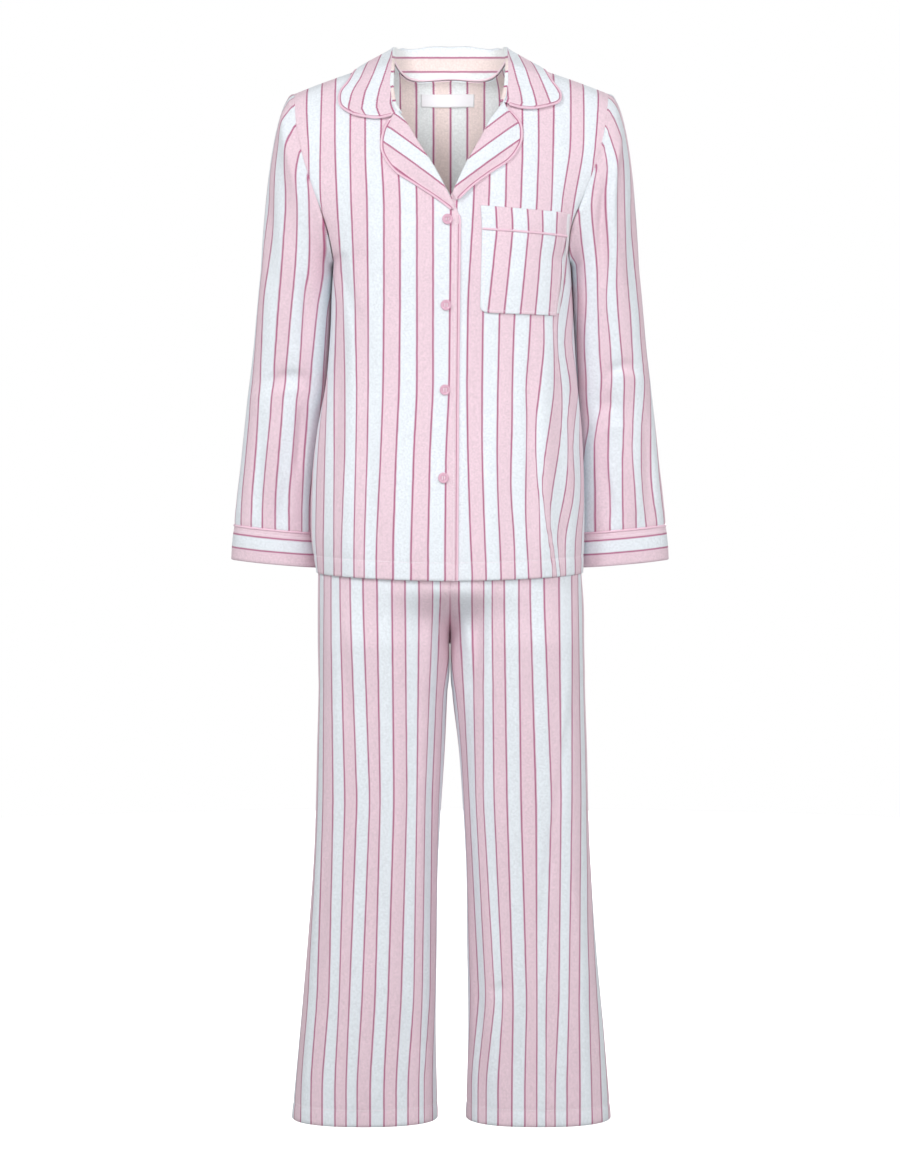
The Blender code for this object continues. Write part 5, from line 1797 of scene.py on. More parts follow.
@dataclass
class Panels:
    """The two fronts and the back of the shirt, with the piping of the upper front and the hem's stitches."""

    surface: ShirtSurface
    sewing: Sewing
    finishes: Finishes
    rows_below: int = 124
    rows_at_arm: int = 74
    front_cells: int = 62
    back_cells: int = 120
    neck_gap: float = 0.9
    underlap: float = 2.6
    underlap_flat: float = 20.0
    underlap_end: float = 44.0
    hem_depth: float = 23.0
    edge_shade_radius: float = 0.35
    stitches_in: float = 3.6
    cut_front: Cut = (0.30, 0.72, 0.175)
    cut_back: Cut = (0.56, 0.70, 0.345)
    front_grids: dict[Side, Array] = field(default_factory=dict)

    def places(self) -> Array:
        """The sections at which the panels have their rows."""
        below = np.linspace(0, UNDERARM, self.rows_below + 1)
        return np.concatenate([below, np.linspace(UNDERARM, SHOULDER, self.rows_at_arm + 1)[1:]])

    @staticmethod
    def edge_spread(edge: Sequence[Edge], place: Array) -> Array:
        """Where a front's inner edge crosses sections.

        Args:
            edge: The front's inner edge.
            place: The sections.

        Returns:
            How far out the edge is on each, from -1 to 1.
        """
        row = row_at(SHIRT, place)
        z = row.z_front
        for _ in range(EDGE_ROUNDS):
            x = line_x(edge, z)
            spread = x / np.where(x < 0, row.right, row.left)
            z = row.z_front + (row.z_side - row.z_front) * np.abs(spread) ** SHOULDER_FALL
        return spread

    def front_grid(self, side: Side) -> Array:
        """The points of one front, from its inner edge to its side seam and armhole.

        Args:
            side: The wearer's side.

        Returns:
            The points, rows by columns.
        """
        edge = EDGE_RIGHT if side is Side.RIGHT else EDGE_LEFT
        places = self.places()
        starts = self.edge_spread(edge, places)
        turn = np.sin(np.linspace(0, math.pi / 2, 130))
        rows = []
        for place, start in zip(places, starts):
            line = self.surface.points(Face.FRONT, place, start + (side.value - start) * turn)
            if side is Side.LEFT and place < LAPEL_BREAK:
                reach = (self.underlap_end - np.abs(line[:, 0])) / (self.underlap_end - self.underlap_flat)
                line[:, 1] += self.underlap * ease(reach)
            rows.append(spaced(line, self.front_cells))
        return np.array(rows)

    def back_grid(self) -> Array:
        """The points of the back, from the right side seam to the left.

        Returns:
            The points, rows by columns.
        """
        half = self.back_cells // 2
        neck_cells = half // 2
        shoulder = SHIRT[SHOULDER]
        top_x = np.concatenate([
            np.linspace(-shoulder.right, -NECK_HALF_WIDTH, half - neck_cells + 1),
            NECK_HALF_WIDTH * np.sin(np.linspace(-math.pi / 2, math.pi / 2, 2 * neck_cells + 1))[1:-1],
            np.linspace(NECK_HALF_WIDTH, shoulder.left, half - neck_cells + 1),
        ])
        top_spread = np.where(top_x < 0, top_x / shoulder.right, top_x / shoulder.left)
        tops = back_neck_place(top_x)
        turn = np.sin(np.linspace(-math.pi / 2, math.pi / 2, 241))
        rows = []
        for place in self.places():
            low = min(place, UNDERARM)
            even = spaced(self.surface.points(Face.BACK, low, turn), self.back_cells)
            if place <= UNDERARM:
                rows.append(even)
                continue
            spread = even[:, 0] / np.where(even[:, 0] < 0, SHIRT[UNDERARM].right, SHIRT[UNDERARM].left)
            share = (place - UNDERARM) / (SHOULDER - UNDERARM)
            spread = spread + (top_spread - spread) * share
            rows.append(self.surface.points(Face.BACK, UNDERARM + share * (tops - UNDERARM), spread))
        return np.array(rows)

    def build(self) -> None:
        """Builds the panels and dresses them."""
        grids = {}
        for side in Side:
            grid = self.front_grid(side)
            self.front_grids[side] = grid.copy()
            inset(grid[self.rows_below + self.rows_at_arm // 2:], "column_low", self.neck_gap)
            grids[side.word] = grid
        grids["back"] = self.back_grid()
        inset(grids["back"], "column_low", SEAM / 2)
        hems, skins = [], []
        for name, grid in grids.items():
            inset(grid, "column_high", SEAM / 2)
            inset(grid, "row_high", SEAM)
            if name == "back":
                neck = self.back_cells // 4
                inset(grid[:, neck:-neck], "row_high", self.neck_gap)
            grid, normals = self.panel(name, grid)
            skins.append((grid, normals))
            hems.append(hem_line(grid + normals * 0.1, self.hem_depth))
        self.surface.learn(skins)
        self.sewing.stitches("shirt_hem_stitches", hems)
        self.front_piping()

    def panel(self, name: str, grid: Array) -> tuple[Array, Array]:
        """Builds one panel.

        Args:
            name: right or left for a front, or back.
            grid: Its points, before its seams and its hem.

        Returns:
            The points of its outer face, and their outward directions before the seams.
        """
        back = name == "back"
        cores = upright_cores(grid)
        normals = outward_normals(grid, cores)
        grid = seam_dip(grid, cores, ["column_high", "row_high"] + (["column_low"] if back else []))
        rise = grid[:, :, 2] - grid[0, :, 2]
        grid = grid + normals * hem_relief(rise, self.hem_depth, self.hem_depth / 2, 9.0)[..., None]
        chart = {"right": STRIPES_FRONT_RIGHT, "left": STRIPES_FRONT_LEFT, "back": STRIPES_BACK}[name]
        cut = np.stack([chart.on_panel(grid), column_lengths(grid) * MM], axis=-1)
        node = name if back else f"front_{name}"
        walls = hem_walls(grid[:, :, 2] - grid[0, :, 2], self.hem_depth)
        cloth = Cloth(f"shirt_{node}", grid, cut, cores, walls)
        item = cloth.build(self.finishes.shirt, self.finishes.shirt_inside)
        declare(item, [node])
        return grid, normals

    def front_piping(self) -> None:
        """The piping down the upper front, and the row of stitches beside it."""
        grid = self.front_grids[Side.RIGHT]
        straight = grid[:, 0, 2] < EDGE_RIGHT[EDGE_PIPED].z + 3.0
        edge, inner = grid[straight, 0], grid[straight, 3]
        line = beside(edge, inner, PIPING_RADIUS * 0.95)
        line[:, 1] += WALL / 2
        line[-1] += (-1.5, -0.5, 0.8)
        self.sewing.cord("front_piping", spaced(line, 200), "piping_front_right")
        # A dark cord of painted shade in the seam's groove just inside the piping.
        seam = beside(edge, inner, -0.5) + (0.0, -0.2, 0.0)
        self.sewing.shade_cord("front_piping_seam", spaced(seam[:-2], 160), self.edge_shade_radius)
        run = beside(edge, inner, -self.stitches_in)
        run[:, 1] -= 0.15
        self.sewing.stitches("front_edge_stitches", [spaced(run[:-2], 200)])


def back_neck_place(x: Array) -> Array:
    """The section at which the neck seam lies behind the neck."""
    return BACK_NECK + (SHOULDER - BACK_NECK) * np.clip(np.abs(x) / NECK_HALF_WIDTH, 0, 1.0) ** 6


@dataclass
class Sleeve:
    """A sleeve with its cuff, the piping between them and the stitches of the cuff."""

    side: Side
    surface: ShirtSurface
    sewing: Sewing
    finishes: Finishes
    cells_round: int = 84
    cells_cap: int = 56
    cells_down: int = 104
    cuff_cells: int = 14
    cuff_wall: float = 2.0
    cuff_start: float = 8.0
    armhole_gap: float = 0.35
    slices: int = 150
    calm_reach: int = 8
    cut_sleeve: Cut = (0.36, 0.62, 0.185)
    cut_cuff: Cut = (0.27, 0.05, 0.0125)

    def turns(self) -> Array:
        """Turns round the sleeve: from the inner side by the back, outer side and front to the inner."""
        return np.linspace(-math.pi, math.pi, self.cells_round + 1)

    def side_x(self, z: Array, y: Array) -> Array:
        """How far out the side of the shirt is below the underarm.

        Args:
            z: The height.
            y: How far forward or back.

        Returns:
            The distance from the middle.
        """
        heights = [row.z_side for row in SHIRT[: UNDERARM + 1]]
        row = row_at(SHIRT, np.interp(z, heights, range(UNDERARM + 1)))
        depth = np.where(y < 0, row.front, row.back)
        share = (1 - (np.abs(y) / depth) ** row.turn) ** (1 / row.power)
        return (row.right if self.side is Side.RIGHT else row.left) * share

    def ring(self, z: float, turns: Array) -> Array:
        """A ring of points round the sleeve.

        Args:
            z: The height of its middle.
            turns: The turns at which it has its points.

        Returns:
            The points.
        """
        row = row_at(SLEEVE, place_at(SLEEVE, z))
        inner = self.side_x(max(z, SLEEVE_LOWEST), row.y) + SLEEVE_CLEARANCE
        middle, half = (row.outer + inner) / 2, (row.outer - inner) / 2
        push = 0.0
        for fold in SLEEVE_FOLDS:
            if fold.side == self.side.value:
                away = (np.degrees(turns) - fold.turn + 180) % 360 - 180
                push = push + fold.height * bell(away, 0, fold.turn_width) * bell(z, fold.z, fold.z_width)
        x = middle + (half + push * np.abs(np.cos(turns))) * np.cos(turns)
        y = row.y - (row.depth + push * np.abs(np.sin(turns))) * np.sin(turns)
        return np.stack([self.side.value * x, y, z + row.rise * np.cos(turns)], axis=-1)

    def armhole(self, turns: Array) -> Array:
        """The armhole seam, from the shoulder at 0 through the front to the underarm at half a turn.

        Args:
            turns: The turns at which it has its points.

        Returns:
            The points.
        """
        share = np.abs(turns) / math.pi
        place = SHOULDER - share * (SHOULDER - UNDERARM)
        spread = np.full(turns.shape, self.side.value)
        front = self.surface.points(Face.FRONT, place, spread, creased=False)
        back = self.surface.points(Face.BACK, place, spread, creased=False)
        return np.where((np.sin(turns) >= 0)[:, None], front, back)

    def grid(self) -> tuple[Array, Array]:
        """The points of the sleeve and their place across the cut.

        Returns:
            The points, rows by columns, and the places in metres.
        """
        turns = self.turns()
        holes = self.armhole(turns) + (self.side.value * self.armhole_gap, 0, 0)
        first = self.ring(SLEEVE[0].z, turns)
        head = (1 + np.cos(turns)) / 2
        fall = holes[:, 2] - first[:, 2]
        out = self.side.value * CAP_REACH * head
        leave = np.stack([out, 0 * head, -CAP_DROP * head - CAP_LEAVE], axis=-1)
        arrive = np.stack([CAP_LEAN * self.side.value * fall, 0 * head, -fall - CAP_ARRIVE], axis=-1)
        rows = [hermite(t, holes, leave, first, arrive) for t in np.linspace(0, 1, self.cells_cap + 1)]
        rows += [self.ring(z, turns) for z in np.linspace(SLEEVE[0].z, CUFF_SEAM, self.cells_down + 1)[1:]]
        grid = np.array(rows)
        return grid, self.across(grid)

    def across(self, grid: Array) -> Array:
        """The place of each point across the flat cut, so that the stripes stay upright in the sleeve's head.

        Args:
            grid: The points of the sleeve before its creases.

        Returns:
            The places in metres, growing with x on the front.
        """
        chart = STRIPES_SLEEVE_RIGHT if self.side is Side.RIGHT else STRIPES_SLEEVE_LEFT
        heights = np.linspace(grid[:, :, 2].min(), grid[:, :, 2].max(), self.slices)
        slices = np.empty((self.slices, grid.shape[1], 2))
        for j in range(grid.shape[1]):
            fall = -np.minimum.accumulate(grid[:, j, 2])
            for axis in range(2):
                slices[:, j, axis] = np.interp(-heights, fall, grid[:, j, axis])
        run = lengths(slices, 1)
        middle = self.cells_round // 2
        run = (run - run[:, middle: middle + 1]) * -self.side.value
        order = slice(middle, None) if self.side is Side.RIGHT else slice(None, middle - 1, -1)
        marks = np.zeros((self.slices, len(chart.places)))
        for m, z in enumerate(heights):
            if m == 0 or z <= chart.rows[-1].z:
                front = np.maximum.accumulate(slices[m, order, 0])
                marks[m] = np.maximum.accumulate(np.interp(chart.lines_at(z), front, run[m, order]))
            else:
                marks[m] = marks[m - 1]
        marks = self.calmed(marks)
        places = np.array([stretched(along, row, chart.places) for along, row in zip(run, marks)])
        columns = [np.interp(grid[:, j, 2], heights, places[:, j]) for j in range(grid.shape[1])]
        return np.array(columns).T * MM

    def calmed(self, marks: Array) -> Array:
        """Rows of marks, each mixed with its neighbours above and below.

        Args:
            marks: The marks, a row for each slice.

        Returns:
            The new marks.
        """
        reach = np.arange(-self.calm_reach, self.calm_reach + 1)
        weights = bell(reach, 0, 0.5 * self.calm_reach)
        rows = np.clip(np.arange(len(marks))[:, None] + reach, 0, len(marks) - 1)
        return (marks[rows] * (weights / weights.sum())[:, None]).sum(axis=1)

    def creased(self, grid: Array) -> Array:
        """The points, moved by the creases that show from the front and the back.

        Args:
            grid: The points of the sleeve.

        Returns:
            The new points.
        """
        cores = grid[:, :-1].mean(axis=1)
        normals = outward_normals(grid, cores, closed=True)
        creases = SLEEVE_CREASES_RIGHT if self.side is Side.RIGHT else SLEEVE_CREASES_LEFT
        push = np.zeros(grid.shape[:2])
        for face in Face:
            facing = ease((normals[:, :, 1] * face.value - 0.02) / 0.45)
            push += crease_height(creases, face, grid[:, :, 0], grid[:, :, 2]) * facing
        calm = np.ones(len(grid))
        calm[-8:] = np.linspace(1, 0, 8)
        calm[:6] = np.linspace(0, 1, 6)
        inner = ease((np.abs(np.degrees(self.turns())) - 150) / 25)
        inward = np.minimum(push, 0) * 0.2
        push = push * (1 - inner) + inward * inner
        moved = grid + normals * (push * calm[:, None])[..., None]
        moved[:, -1] = moved[:, 0]
        return moved

    def build(self) -> None:
        """Builds the sleeve and its cuff."""
        grid, across = self.grid()
        grid = self.creased(grid)
        inset(grid, "row_high", PIPING_RADIUS * 0.6)
        cores = grid[:, :-1].mean(axis=1)
        grid = self.sewn_ends(grid, cores)
        cut = np.stack([across, column_lengths(grid) * MM], axis=-1)
        cloth = Cloth(f"sleeve_cloth_{self.side.word}", grid, cut, cores, WALL, closed=True)
        item = cloth.build(self.finishes.narrow, self.finishes.narrow_inside)
        declare(item, [f"sleeve_{self.side.word}"])
        self.build_cuff()

    def sewn_ends(self, grid: Array, cores: Array) -> Array:
        """Rounds the sleeve in at the armhole and at the cuff.

        Args:
            grid: The points of the sleeve.
            cores: The middle of each row.

        Returns:
            The new points.
        """
        top = lengths(grid)
        fall = 0.9 * bell(top, 0, 2.6) - 0.5 * bell(top, 6.0, 4.0) + 0.8 * bell(top[-1:] - top, 0, 3.0)
        return grid - outward_normals(grid, cores, closed=True) * fall[..., None]

    def build_cuff(self) -> None:
        """The cuff, its piping and its stitches."""
        word, turns = self.side.word, self.turns()
        rows = np.array([self.ring(z, turns) for z in np.linspace(CUFF_SEAM, CUFF_END, self.cuff_cells + 1)])
        inset(rows, "row_low", PIPING_RADIUS * 0.6)
        cores = rows[:, :-1].mean(axis=1)
        normals = outward_normals(rows, cores, closed=True)
        down = lengths(rows)
        wave = 0.5 * np.sin(np.linspace(0, 14 * math.pi, rows.shape[1]) + down * 0.05)
        puff = 0.9 * bell(down, 22, 16) - 0.8 * bell(down, 0, 2.5) - 0.45 * bell(down, 5.0, 1.6)
        rows = rows + normals * (puff + wave * 0.4)[..., None]
        rows[:, -1] = rows[:, 0]
        round_it = np.broadcast_to(lengths(rows[3]) * MM, down.shape)
        cut = np.stack([(down + self.cuff_start) * MM, round_it], axis=-1)
        cloth = Cloth(f"cuff_cloth_{word}", rows, cut, cores, self.cuff_wall, closed=True)
        item = cloth.build(self.finishes.narrow, self.finishes.narrow_inside)
        declare(item, [f"cuff_{word}"])
        seam = self.ring(CUFF_SEAM, turns[:-1])
        inward = unit(seam.mean(axis=0) - seam)
        self.sewing.cord(f"cuff_piping_{word}", seam + inward * 0.5, f"piping_cuff_{word}", closed=True)
        self.sewing.stitches(f"cuff_stitches_{word}", [(rows[2] + normals[2] * 0.1)[:-1]], closed=True)


@dataclass
class Collar:
    """The turned collar with its piping, and the tape along the back of the neck."""

    surface: ShirtSurface
    sewing: Sewing
    finishes: Finishes
    cells: int = 150
    fall_cells: int = 26
    wall: float = 2.2
    fall_rest: float = 2.8
    first_line: float = 9.0
    inside: int = 18
    eye_y: float = -4200.0
    eye_z: float = -416.0
    slant: tuple[float, ...] = (-5.4, -2.0, 3.0, 7.0, 12.0, 10.0, 5.0, 0.0, 0.0)
    across_fold: int = 22
    ripple: float = 0.7
    tape_share: float = 0.52
    tape_wall: float = 0.7
    cut: Cut = (0.48, 0.14, 0.052)
    cut_tape: Cut = (0.24, 0.0105, 0.0010)

    def foot(self, side: Side, place: float) -> Array:
        """A point of the neck seam, for a place between the collar's stations.

        Args:
            side: The wearer's side.
            place: The place, counted in stations.

        Returns:
            The point.
        """
        right = side is Side.RIGHT
        feet = [row.foot_right if right else row.foot_left for row in COLLAR]
        half = SHIRT[SHOULDER].right if right else SHIRT[SHOULDER].left
        if place >= RIDGE_STATION:
            x = float(np.interp(place, range(len(feet)), feet))
            return self.surface.points(Face.BACK, back_neck_place(x), side.value * x / half, creased=False)
        edge = EDGE_RIGHT if right else EDGE_LEFT
        z = float(np.interp(place, range(LAST_FRONT_STATION + 1), feet[: LAST_FRONT_STATION + 1]))
        foot = self.surface.at(Face.FRONT, line_x(edge, z), z)
        ridge = self.surface.points(Face.FRONT, SHOULDER, side.value * NECK_HALF_WIDTH / half, creased=False)
        return foot + (ridge - foot) * max(place - LAST_FRONT_STATION, 0.0)

    def section(self, side: Side, place: float) -> Array:
        """The points across the collar, from its foot over the fold to the edge of its fall.

        Args:
            side: The wearer's side.
            place: The place, counted in stations.

        Returns:
            The points.
        """
        station = row_at(COLLAR, place)
        foot = self.foot(side, place)
        crest = foot + (side.value * -station.lean_x, station.lean_y, station.stand)
        face = Face.FRONT if place < RIDGE_STATION else Face.BACK
        edge_z = station.edge_right if side is Side.RIGHT else station.edge_left
        lift = self.fall_rest + WALL / 2
        edge = self.surface.over(face, side.value * station.edge_x, edge_z, lift)
        edge = self.surface.kept_over(edge, lift)
        out = unit((edge - crest) * (1.0, 1.0, 0.0))
        drop = np.array([0.0, 0.0, FOLD_DROP])
        inner = curve_through([
            foot - out * STAND_INSET + (0, 0, 2 * SEAM),
            foot + (crest - foot) * STAND_MIDDLE - out * STAND_BULGE,
            crest - out * COLLAR_FOLD - drop,
            crest,
            crest + out * COLLAR_FOLD - drop,
        ], self.across_fold)
        start = inner[-1]
        share = np.linspace(0, 1, self.fall_cells + 1)[1:, None]
        fall = start + (edge - start) * share
        ripple = self.ripple * math.sin(place * 2.3 + side.value)
        fall[:, 2:3] += (ripple - station.dip) * np.sin(math.pi * share)
        return np.concatenate([inner, self.surface.kept_over(fall, lift)])

    def grid(self) -> Array:
        """The points of the collar, from its right front end round the neck to its left one.

        Returns:
            The points, rows by columns.
        """
        last = len(COLLAR) - 1
        half = self.cells // 2
        right = [self.section(Side.RIGHT, place) for place in np.linspace(0, last, half + 1)]
        left = [self.section(Side.LEFT, place) for place in np.linspace(last, 0, half + 1)]
        return np.array(right + left[1:])

    def build(self) -> None:
        """Builds the collar, its piping and the tape."""
        grid = self.grid()
        run = lengths(grid, 1)
        from_edge = run[:, -1:] - run
        along = lengths(grid[:, self.across_fold + 3])
        stations = len(COLLAR) - 1 - np.abs(np.linspace(1 - len(COLLAR), len(COLLAR) - 1, len(grid)))
        slant = np.interp(stations, range(len(self.slant)), self.slant)[:, None]
        u = run - self.first_line + slant
        u[:, : self.inside] = self.level(grid[:, : self.inside]) - self.first_line
        cut = np.stack([u, np.broadcast_to(along[:, None], run.shape)], axis=-1) * MM
        cores = np.tile([0.0, 0.0, 30.0], (len(grid), 1))
        edge_thin = np.minimum(1.0, 0.55 + from_edge / 6.0)
        wall = self.wall * edge_thin
        cloth = Cloth("collar_cloth", grid, cut, cores, wall, centred=True, lined=self.inside - 1)
        item = cloth.build(self.finishes.collar, self.finishes.collar_inside)
        declare(item, ["collar"])
        self.pipe(grid)
        self.tape(grid)

    def level(self, points: Array) -> Array:
        """Heights over the middle of the neck seam, for stripes that look level from the front."""
        seen = (points[..., 2] - self.eye_z) / (points[..., 1] - self.eye_y) * -self.eye_y
        return seen - seen[len(seen) // 2, 0]

    def pipe(self, grid: Array) -> None:
        """The piping round the collar's edge, and a dark cord of painted shade in the seam's groove beside
        it.

        Args:
            grid: The points of the collar.
        """
        end = slice(-self.fall_cells + 2, -1)
        edge = np.concatenate([grid[0, end], grid[:, -1], grid[-1, end][::-1]])
        inner = np.concatenate([grid[3, end], grid[:, -4], grid[-4, end][::-1]])
        count = self.fall_cells - 3
        inner[count], inner[-1 - count] = grid[3, -4], grid[-4, -4]
        line = self.surface.kept_over(beside(edge, inner, PIPING_RADIUS), PIPING_RADIUS + SEAM)
        self.sewing.cord("collar_piping", spaced(self.smoothed(line), 420), "piping_collar")
        seam = self.surface.kept_over(beside(edge, inner, -0.5), self.fall_rest + WALL / 2 + 0.7)
        self.sewing.shade_cord("collar_piping_seam", spaced(self.smoothed(seam), 360))

    @staticmethod
    def smoothed(line: Array) -> Array:
        """A line with its small corners taken off.

        Args:
            line: The line, changed in place.

        Returns:
            The line.
        """
        for _ in range(3):
            line[1:-1] = (line[:-2] + 2 * line[1:-1] + line[2:]) / 4
        return line

    def tape(self, grid: Array) -> None:
        """The narrow tape over the seam inside the back of the neck.

        Args:
            grid: The points of the collar.
        """
        half = self.cells // 2
        reach = int(half * self.tape_share)
        foot, above = (grid[half - reach: half + reach + 1, column] for column in (0, 3))
        up = unit(above - foot)
        inward = unit(-foot * (1.0, 1.0, 0.0))
        rows = []
        for rise, into in ((-1.7, 1.0), (-0.9, 1.6), (0.0, 1.8), (0.9, 1.6), (1.7, 1.1)):
            rows.append(foot + up * rise + inward * into)
        tape = np.array(rows).transpose(1, 0, 2)
        cores = np.tile([0.0, 400.0, 0.0], (len(tape), 1))
        along = lengths(tape[:, 2])
        cut = np.stack([np.broadcast_to(along[:, None] * MM, tape.shape[:2])] * 2, axis=-1)
        cloth = Cloth("neck_tape", tape, cut, cores, self.tape_wall)
        item = cloth.build(self.finishes.tape, self.finishes.tape)
        declare(item, [])


@dataclass
class Lapel:
    """A turned lapel and the piping round its outer edge."""

    side: Side
    surface: ShirtSurface
    sewing: Sewing
    finishes: Finishes
    cells_down: int = 90
    cells: int = 26
    rest: float = 0.8
    roll: float = 4.0
    wide: float = 30.0
    roll_start: float = 0.12
    stretch: float = 1.15
    stripe: float = -10.0
    slope: tuple[float, float] = (-0.80, -0.60)
    middle: tuple[float, float] = (60.0, -86.0)
    cut: Cut = (0.062, 0.20, 0.0072)

    def build(self) -> None:
        """Builds the lapel and its piping."""
        rows = LAPEL_RIGHT if self.side is Side.RIGHT else LAPEL_LEFT
        row = row_at(rows, np.linspace(0, len(rows) - 1, self.cells_down + 1)[:, None])
        share = np.linspace(0, 1, self.cells + 1)[None, :]
        x = row.fold_x + (row.edge_x - row.fold_x) * share
        z = row.fold_z + (row.edge_z - row.fold_z) * share
        width = np.hypot(row.edge_x - row.fold_x, row.edge_z - row.fold_z)
        rise = self.roll * np.minimum(width / self.wide, 1.0)
        rise = rise * np.sin(math.pi * np.minimum(share + self.roll_start, 1.0))
        grid = self.surface.over(Face.FRONT, x, z, self.rest + TRIM_WALL + rise)
        word = self.side.word
        cloth = Cloth(f"lapel_cloth_{word}", grid, self.stripes(x, z), upright_cores(grid), TRIM_WALL + 0.4)
        item = cloth.build(self.finishes.shirt, self.finishes.shirt_inside)
        declare(item, [f"lapel_{word}"])
        line = beside(grid[:, -1], grid[:, -4], PIPING_RADIUS * 0.95)
        line = self.surface.kept_over(line[:-3], PIPING_RADIUS + 0.2)
        self.sewing.cord(f"lapel_piping_{word}", spaced(line, 160), f"piping_lapel_{word}")
        # A dark cord of painted shade in the seam's groove just inside the piping.
        seam = beside(grid[:, -1], grid[:, -4], -0.5) + (0.0, -0.2, 0.0)
        self.sewing.shade_cord(f"lapel_piping_seam_{word}", spaced(seam[:-3], 140))

    def stripes(self, x: Array, z: Array) -> Array:
        """Stripes that slope down towards the middle, as the grain of a turned lapel does.

        Args:
            x: Where the points are across.
            z: Their heights.

        Returns:
            Their places on the flat cut, in metres.
        """
        out = self.side.value
        down_x, down_z = self.slope
        u = (x - out * self.middle[0]) * down_z * out - (z - self.middle[1]) * down_x
        v = x * down_x * out + z * down_z
        return np.stack([(u * self.stretch + self.stripe) * MM, v * MM], axis=-1)


class Patch(NamedTuple):
    """A patch seen from the front: x and z, the place down it, and how far its left edge is rounded off."""

    x: Array
    z: Array
    down: Array
    turned: Array


@dataclass
class Pocket:
    """The chest pocket with its turned band, the piping between them and the stitches round it."""

    surface: ShirtSurface
    sewing: Sewing
    finishes: Finishes
    cells: int = 56
    cells_down: int = 62
    band_cells: int = 20
    rest: float = 1.2
    wall: float = 1.6
    corner: float = 9.0
    belly: float = 1.6
    stripe: float = 14.6
    slant: float = 9.0
    band_stripe: float = 19.2
    edge_width: float = 3.8
    edge_wall: float = 0.9
    cut_pocket: Cut = (0.125, 0.112, 0.0132)
    cut_band: Cut = (0.13, 0.034, 0.0042)
    cut_edge: Cut = (0.134, 0.0105, 0.00065)

    def patch(self, top: Span, low: Span, rows: int, rounded: bool) -> Patch:
        """The points of a patch, as seen from the front.

        Args:
            top: The patch's upper line.
            low: Its lower line.
            rows: How many cells it has down.
            rounded: Whether its lower left corner is rounded.

        Returns:
            The patch.
        """
        down = np.linspace(0, 1, rows + 1)[:, None]
        share = np.linspace(0, 1, self.cells + 1)[None, :]
        span = Span(*(start + (end - start) * down for start, end in zip(top, low)))
        turned = np.zeros(down.shape)
        if rounded:
            height = abs(low.z_left - top.z_left)
            near = np.clip((down - 1) * height + self.corner, 0, self.corner)
            turned = self.corner - np.sqrt(np.clip(self.corner**2 - near**2, 0, None))
        left_x = span.x_left + turned
        x = left_x + (span.x_right - left_x) * share
        z = span.z_left + (span.z_right - span.z_left) * share
        return Patch(x, z, down, turned)

    def sew_on(
        self, name: str, node: str, patch: Patch, stripe: float, slant: float = 0.0
    ) -> Array:
        """Builds one patch over the left front.

        Args:
            name: The piece's name.
            node: The solid that it replaces.
            patch: Where it lies.
            stripe: Where line 0 of the stripes lies from its left edge.
            slant: How far the stripes lean over its height.

        Returns:
            The points of its outer face.
        """
        share = np.linspace(0, 1, self.cells + 1)[None, :]
        belly = self.belly * np.sin(share * math.pi) * np.sin(patch.down * math.pi)
        press = 0.5 * bell(np.minimum(share, 1 - share) * 110, 0, 2.4)
        grid = self.surface.over(Face.FRONT, patch.x, patch.z, self.rest + self.wall + belly - press)
        u = lengths(grid, 1) + patch.turned - stripe + slant * (patch.down - 0.5)
        cut = np.stack([u, patch.z], axis=-1) * MM
        cloth = Cloth(name, grid, cut, upright_cores(grid), self.wall)
        item = cloth.build(self.finishes.shirt, self.finishes.shirt_inside)
        declare(item, [node])
        return grid

    def build(self) -> None:
        """Builds the pocket, its band, the piping and the stitches."""
        body = self.patch(POCKET_BAND, POCKET_LOW, self.cells_down, True)
        pocket = self.sew_on("pocket_cloth", "pocket", body, self.stripe, self.slant)
        top = self.patch(POCKET_TOP, POCKET_BAND, self.band_cells, False)
        self.sew_on("pocket_band_cloth", "pocket_band", top, self.band_stripe)
        self.turned_edge()
        share = np.linspace(0.0, 1.0, 90)
        x = POCKET_BAND.x_left + (POCKET_BAND.x_right - POCKET_BAND.x_left) * share
        z = POCKET_BAND.z_left + (POCKET_BAND.z_right - POCKET_BAND.z_left) * share
        line = self.surface.over(Face.FRONT, x, z, np.full(share.shape, self.rest + self.wall + 0.5))
        self.sewing.cord("pocket_piping", line, "piping_pocket")
        raised = pocket + outward_normals(pocket, upright_cores(pocket)) * 0.1
        self.sewing.stitches("pocket_stitches", [raised[2:-2, 2], raised[-3, 3:-3], raised[2:-2, -3]])

    def turned_edge(self) -> None:
        """The white edge turned back along the pocket's open side."""
        ends = (POCKET_TOP, POCKET_BAND, POCKET_LOW)
        heights = np.linspace(POCKET_TOP.z_right - 1.0, POCKET_LOW.z_right + 3.0, 70)[:, None]
        side = np.interp(-heights, [-end.z_right for end in ends], [end.x_right for end in ends])
        x = side + np.linspace(0.4, self.edge_width, 6)[None, :] + 0.5 * np.sin(heights / 9.0)
        lift = self.rest + self.wall * np.linspace(1.0, 0.5, 6)[None, :] + 0 * heights
        grid = self.surface.over(Face.FRONT, x, heights + 0 * x, lift)
        cut = np.stack([x, heights + 0 * x], axis=-1) * MM
        cloth = Cloth("pocket_turned_edge", grid, cut, upright_cores(grid), self.edge_wall)
        item = cloth.build(self.finishes.satin, self.finishes.satin)
        declare(item, [])


